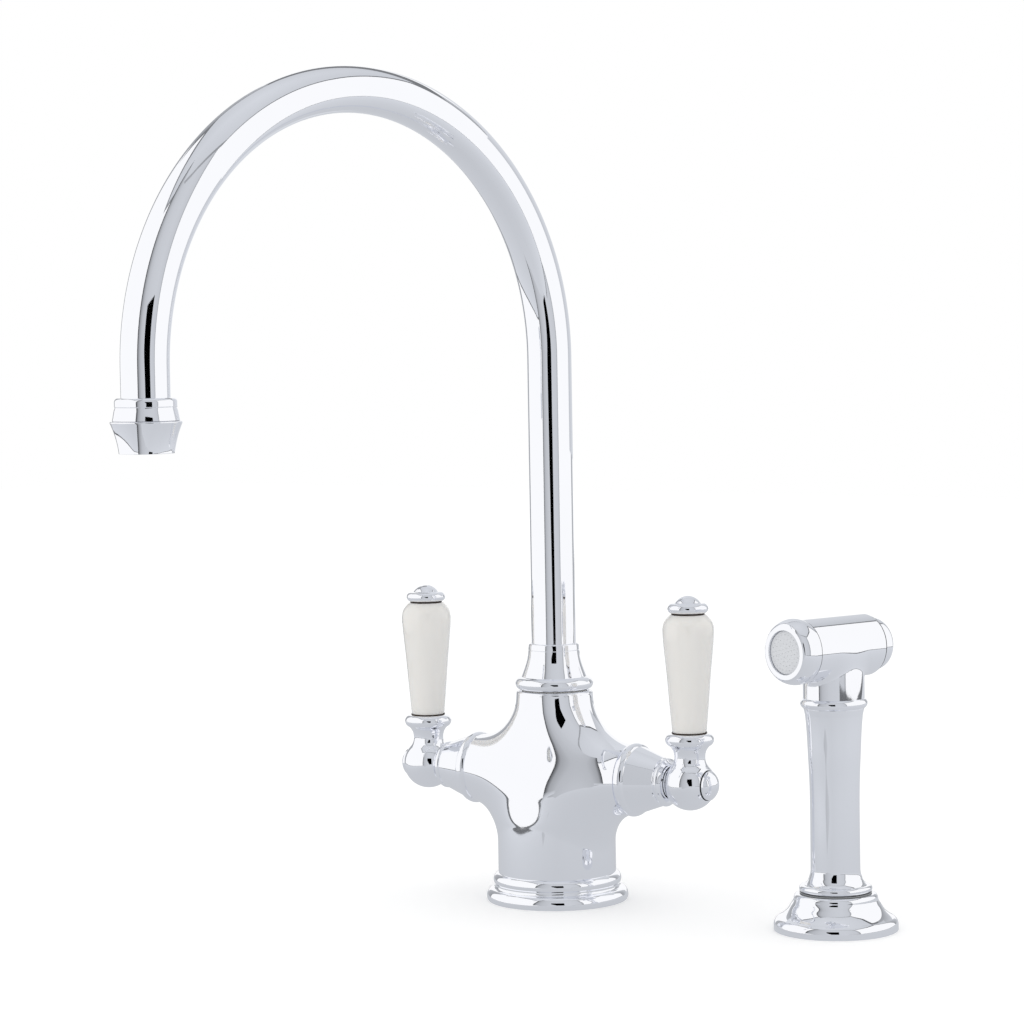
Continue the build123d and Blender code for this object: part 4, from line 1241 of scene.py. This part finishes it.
@dataclass
class Studio:
    """White sweep with soft light from all round, as in a catalogue picture.

    The object stands in a tent of cards: the sides are open to the white light, and the front,
    the ceiling and the table in front of it are pale grey, with a dark opening for the camera.
    Bearings are in degrees from the camera's side, to the right of the picture.
    """

    floor_reach: float = 3000.0
    floor_lift: float = 0.09
    view_azimuth: float = 34.0
    table_height: float = -14.0
    table_edge: float = 0.015
    front_top: float = 300.0
    front_rise: float = 1.15
    hem_share: float = 0.98
    hem_height: float = 38.0
    ceiling_height: float = 1400.0
    wall_top: float = 1900.0
    spray: Point = (SPRAY_OFFSET, -20.0)
    opening_distance: float = 690.0
    opening_right: float = 10.5
    focal_length: float = 108.2
    sensor: float = 36.0
    camera_place: tuple[float, float, float] = (0.81578, -1.20996, 0.27412)
    heading: float = 34.728
    pitch: float = 3.480
    roll: float = 0.957

    def spot(self, turn: float, distance: float) -> Point:
        """Point on the floor, by its bearing and its distance."""
        angle = math.radians(self.view_azimuth + turn)
        return distance * math.sin(angle), -distance * math.cos(angle)

    def spots(self, distance: float, *turns: float) -> list[Point]:
        """Points on the floor at one distance, by their bearings."""
        return [self.spot(turn, distance) for turn in turns]

    def build(self) -> None:
        """Build the world, the floor, the cards and the camera."""
        self.build_world()
        self.build_floor()
        self.build_front()
        self.build_table()
        self.build_ceiling()
        self.build_rear()
        self.build_camera()

    def build_world(self) -> None:
        """Light the scene evenly from all sides."""
        world = bpy.data.worlds.new("soft_white_studio")
        bpy.context.scene.world = world
        tree = cleared(world)
        glow = add_node(tree, "ShaderNodeBackground", Color=(1, 1, 1, 1), Strength=1.0)
        add_node(tree, "ShaderNodeOutputWorld", Surface=glow.outputs[0])

    def build_floor(self) -> None:
        """Lay a white matt floor, which keeps the object's faint shadow.

        What the camera sees of it is lifted to the white of the world behind it.
        """
        work = bmesh.new()
        half = self.floor_reach
        corners = [work.verts.new((x, y, -0.02)) for x, y in
                   ((-half, -half), (half, -half), (half, half), (-half, half))]
        work.faces.new(corners)
        floor = finished_mesh("floor", work)
        material = bpy.data.materials.new("white_matt_floor")
        tree = cleared(material)
        matt = add_node(tree, "ShaderNodeBsdfDiffuse", Color=(1, 1, 1, 1))
        ray = add_node(tree, "ShaderNodeLightPath").outputs
        seen = ray["Is Camera Ray"]
        for other in ("Is Glossy Ray", "Is Transmission Ray"):
            seen = add_node(tree, "ShaderNodeMath", {"operation": "MAXIMUM"},
                            i0=seen, i1=ray[other]).outputs[0]
        lift = add_node(tree, "ShaderNodeMath", {"operation": "MULTIPLY"}, i0=seen,
                        i1=self.floor_lift)
        white = add_node(tree, "ShaderNodeEmission", Color=(1, 1, 1, 1), Strength=lift.outputs[0])
        both = add_node(tree, "ShaderNodeAddShader", i0=matt.outputs[0], i1=white.outputs[0])
        add_node(tree, "ShaderNodeOutputMaterial", Surface=both.outputs[0])
        floor.data.materials.append(material)
        floor.visible_glossy = False

    def build_front(self) -> None:
        """Put up the front of the tent, and the dark opening that the camera looks through."""
        front = ((-30, -350, 0.02), (-23, -362, 0.14), (-6, -390, 0.4), (40, -467, 0.53),
                 (120, -600, 0.58), (300, -720, 0.63), (520, -700, 0.65), (800, -620, 0.66),
                 (*self.spot(37, 1220), 0.62), (*self.spot(41, 1310), 0.4),
                 (*self.spot(42, 1340), 0.3))
        posts = [(x, y) for x, y, glow in front]
        foot = [5.0, 5.0, 0.0, -25.0] + [-110.0] * 7
        tops = [self.front_top + self.front_rise * math.hypot(*post) for post in posts]
        Card("front_card", tuple(glow for x, y, glow in front)).wall(posts, foot, tops)
        hem = [(self.hem_share * x, self.hem_share * y) for x, y in posts[:4]]
        Card("front_hem", (0.02, 0.14, 0.4, 0.53, 0.68)).wall(
            hem, [0.0] * 4, [self.hem_height] * 4, [4] * 4)
        for lower, upper, turns in ((50, 118, (-1.8, -4.6)), (118, 238, (-4.6, -9.8)),
                                    (238, 300, (-9.8, -11.7)), (300, 430, (-11.7, -11.2))):
            self.build_opening(lower, upper, turns)

    def build_opening(self, lower: float, upper: float, turns: Point) -> None:
        """Hang one black strip of the camera's opening.

        Args:
            lower: its foot.
            upper: its head.
            turns: bearing of its left edge at the foot and at the head.
        """
        work = bmesh.new()
        sheet = []
        for turn, height in ((turns[0], lower), (self.opening_right, lower),
                             (self.opening_right, upper), (turns[1], upper)):
            x, y = self.spot(turn, self.opening_distance / math.cos(math.radians(turn)))
            sheet.append(work.verts.new((x, y, height)))
        work.faces.new(sheet)
        Card(f"camera_opening_{lower:.0f}", (0.0,)).stand(work, (0, 0, 0, 0))

    def build_table(self) -> None:
        """Lay the table, whose dark edge draws a line round each highlight."""
        plan = ((-180, 2500, -60), (-150, 2500, -96), (-125, 1500, -112), (-90, 1109, -112),
                (-60, 1200, -118), (-45, 1485, -140), (0, 1500, -20), (42, 900, 20), (60, 660, 45),
                (90, 640, 45), (120, 700, 45), (140, 1400, 30), (160, 2500, 0))
        rim = [self.spot(turn, reach) for turn, reach, height in plan]
        heights = [height - self.table_edge * reach for turn, reach, height in plan]
        Card("table_card", (0.6, 0.75)).bowl(rim, heights, self.table_height)
        tops = [height for turn, reach, height in plan]
        Card("table_rim", (0.16,)).wall(rim, [height - 4 for height in heights], tops)

    def build_ceiling(self) -> None:
        """Hang the ceiling, with a darker brim that shows past its edge."""
        plan = ((-140, 1150), (-90, 700), (-45, 1050), (0, 860), (45, 1150), (90, 960), (140, 1300))
        for name, share, lift, glows in (
                ("ceiling_card", 1.0, 0, (0.74, 0.66)),
                ("ceiling_brim", 1.11, 10, (0.3, 0.2, 0.2, 0.3, 0.42, 0.3, 0.12, 0.2))):
            height = self.ceiling_height + lift
            rim = [self.spot(turn, reach * share) for turn, reach in plan]
            Card(name, glows).bowl(rim, [height] * len(plan), height)

    def build_rear(self) -> None:
        """Put up the cards behind the object, which edge it in grey against the white."""
        for name, glows, low, plan in (
                ("rear_left_card", (0.5, 0.34), -100, self.spots(1300, -160, -138)),
                ("rear_right_card", (0.34, 0.64), -96, self.spots(1400, 130, 151)),
                ("rear_valance", (0.22,), 1200, self.spots(1380, 130, 160, -165, -130))):
            count = len(plan)
            Card(name, glows).wall(plan, [low] * count, [self.wall_top] * count)
        plan = [(self.spray[0] + x, self.spray[1] + y)
                for x, y in self.spots(330, 140, 165, -165, -150)]
        Card("spray_card", (0.6, 0.7, 0.76, 0.76)).wall(plan, (200,) * 4, (505,) * 4)

    def build_camera(self) -> None:
        """Stand the camera where the photograph was taken."""
        lens = bpy.data.cameras.new("view_camera")
        lens.lens, lens.sensor_width, lens.sensor_height = (
            self.focal_length, self.sensor, self.sensor)
        camera = linked("view_camera", lens)
        heading, pitch, roll = map(math.radians, (self.heading, self.pitch, self.roll))
        ahead = Vector((-math.sin(heading) * math.cos(pitch), math.cos(heading) * math.cos(pitch),
                        -math.sin(pitch)))
        level = Vector((math.cos(heading), math.sin(heading), 0))
        down = ahead.cross(level)
        right = level * math.cos(roll) + down * math.sin(roll)
        up = level * math.sin(roll) - down * math.cos(roll)
        turn = Matrix((right, up, -ahead)).transposed().to_4x4()
        camera.matrix_world = Matrix.Translation(self.camera_place) @ turn
        lens.clip_start, lens.clip_end = 0.05, 50.0
        bpy.context.scene.camera = camera


def main() -> None:
    """Build everything in order."""
    logging.basicConfig(level=logging.INFO, format="%(name)s: %(message)s")
    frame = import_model()
    DeckFlange().build()
    BodyCasting().build()
    for side, sign, body in (("left", -1, Body.LEFT_LEVER), ("right", 1, Body.RIGHT_LEVER)):
        Bonnet(side, sign).build()
        Lever(side, sign, body).build()
    spout = Spout()
    spout.build()
    Outlet(spout.outlet_centre()).build()
    SprayHolder().build()
    Handset().build()
    CarriedSolids(frame["record"], frame["nodes"]).dress()
    Studio().build()
    bpy.context.scene.view_settings.view_transform = "Standard"


if __name__ == "__main__":
    main()
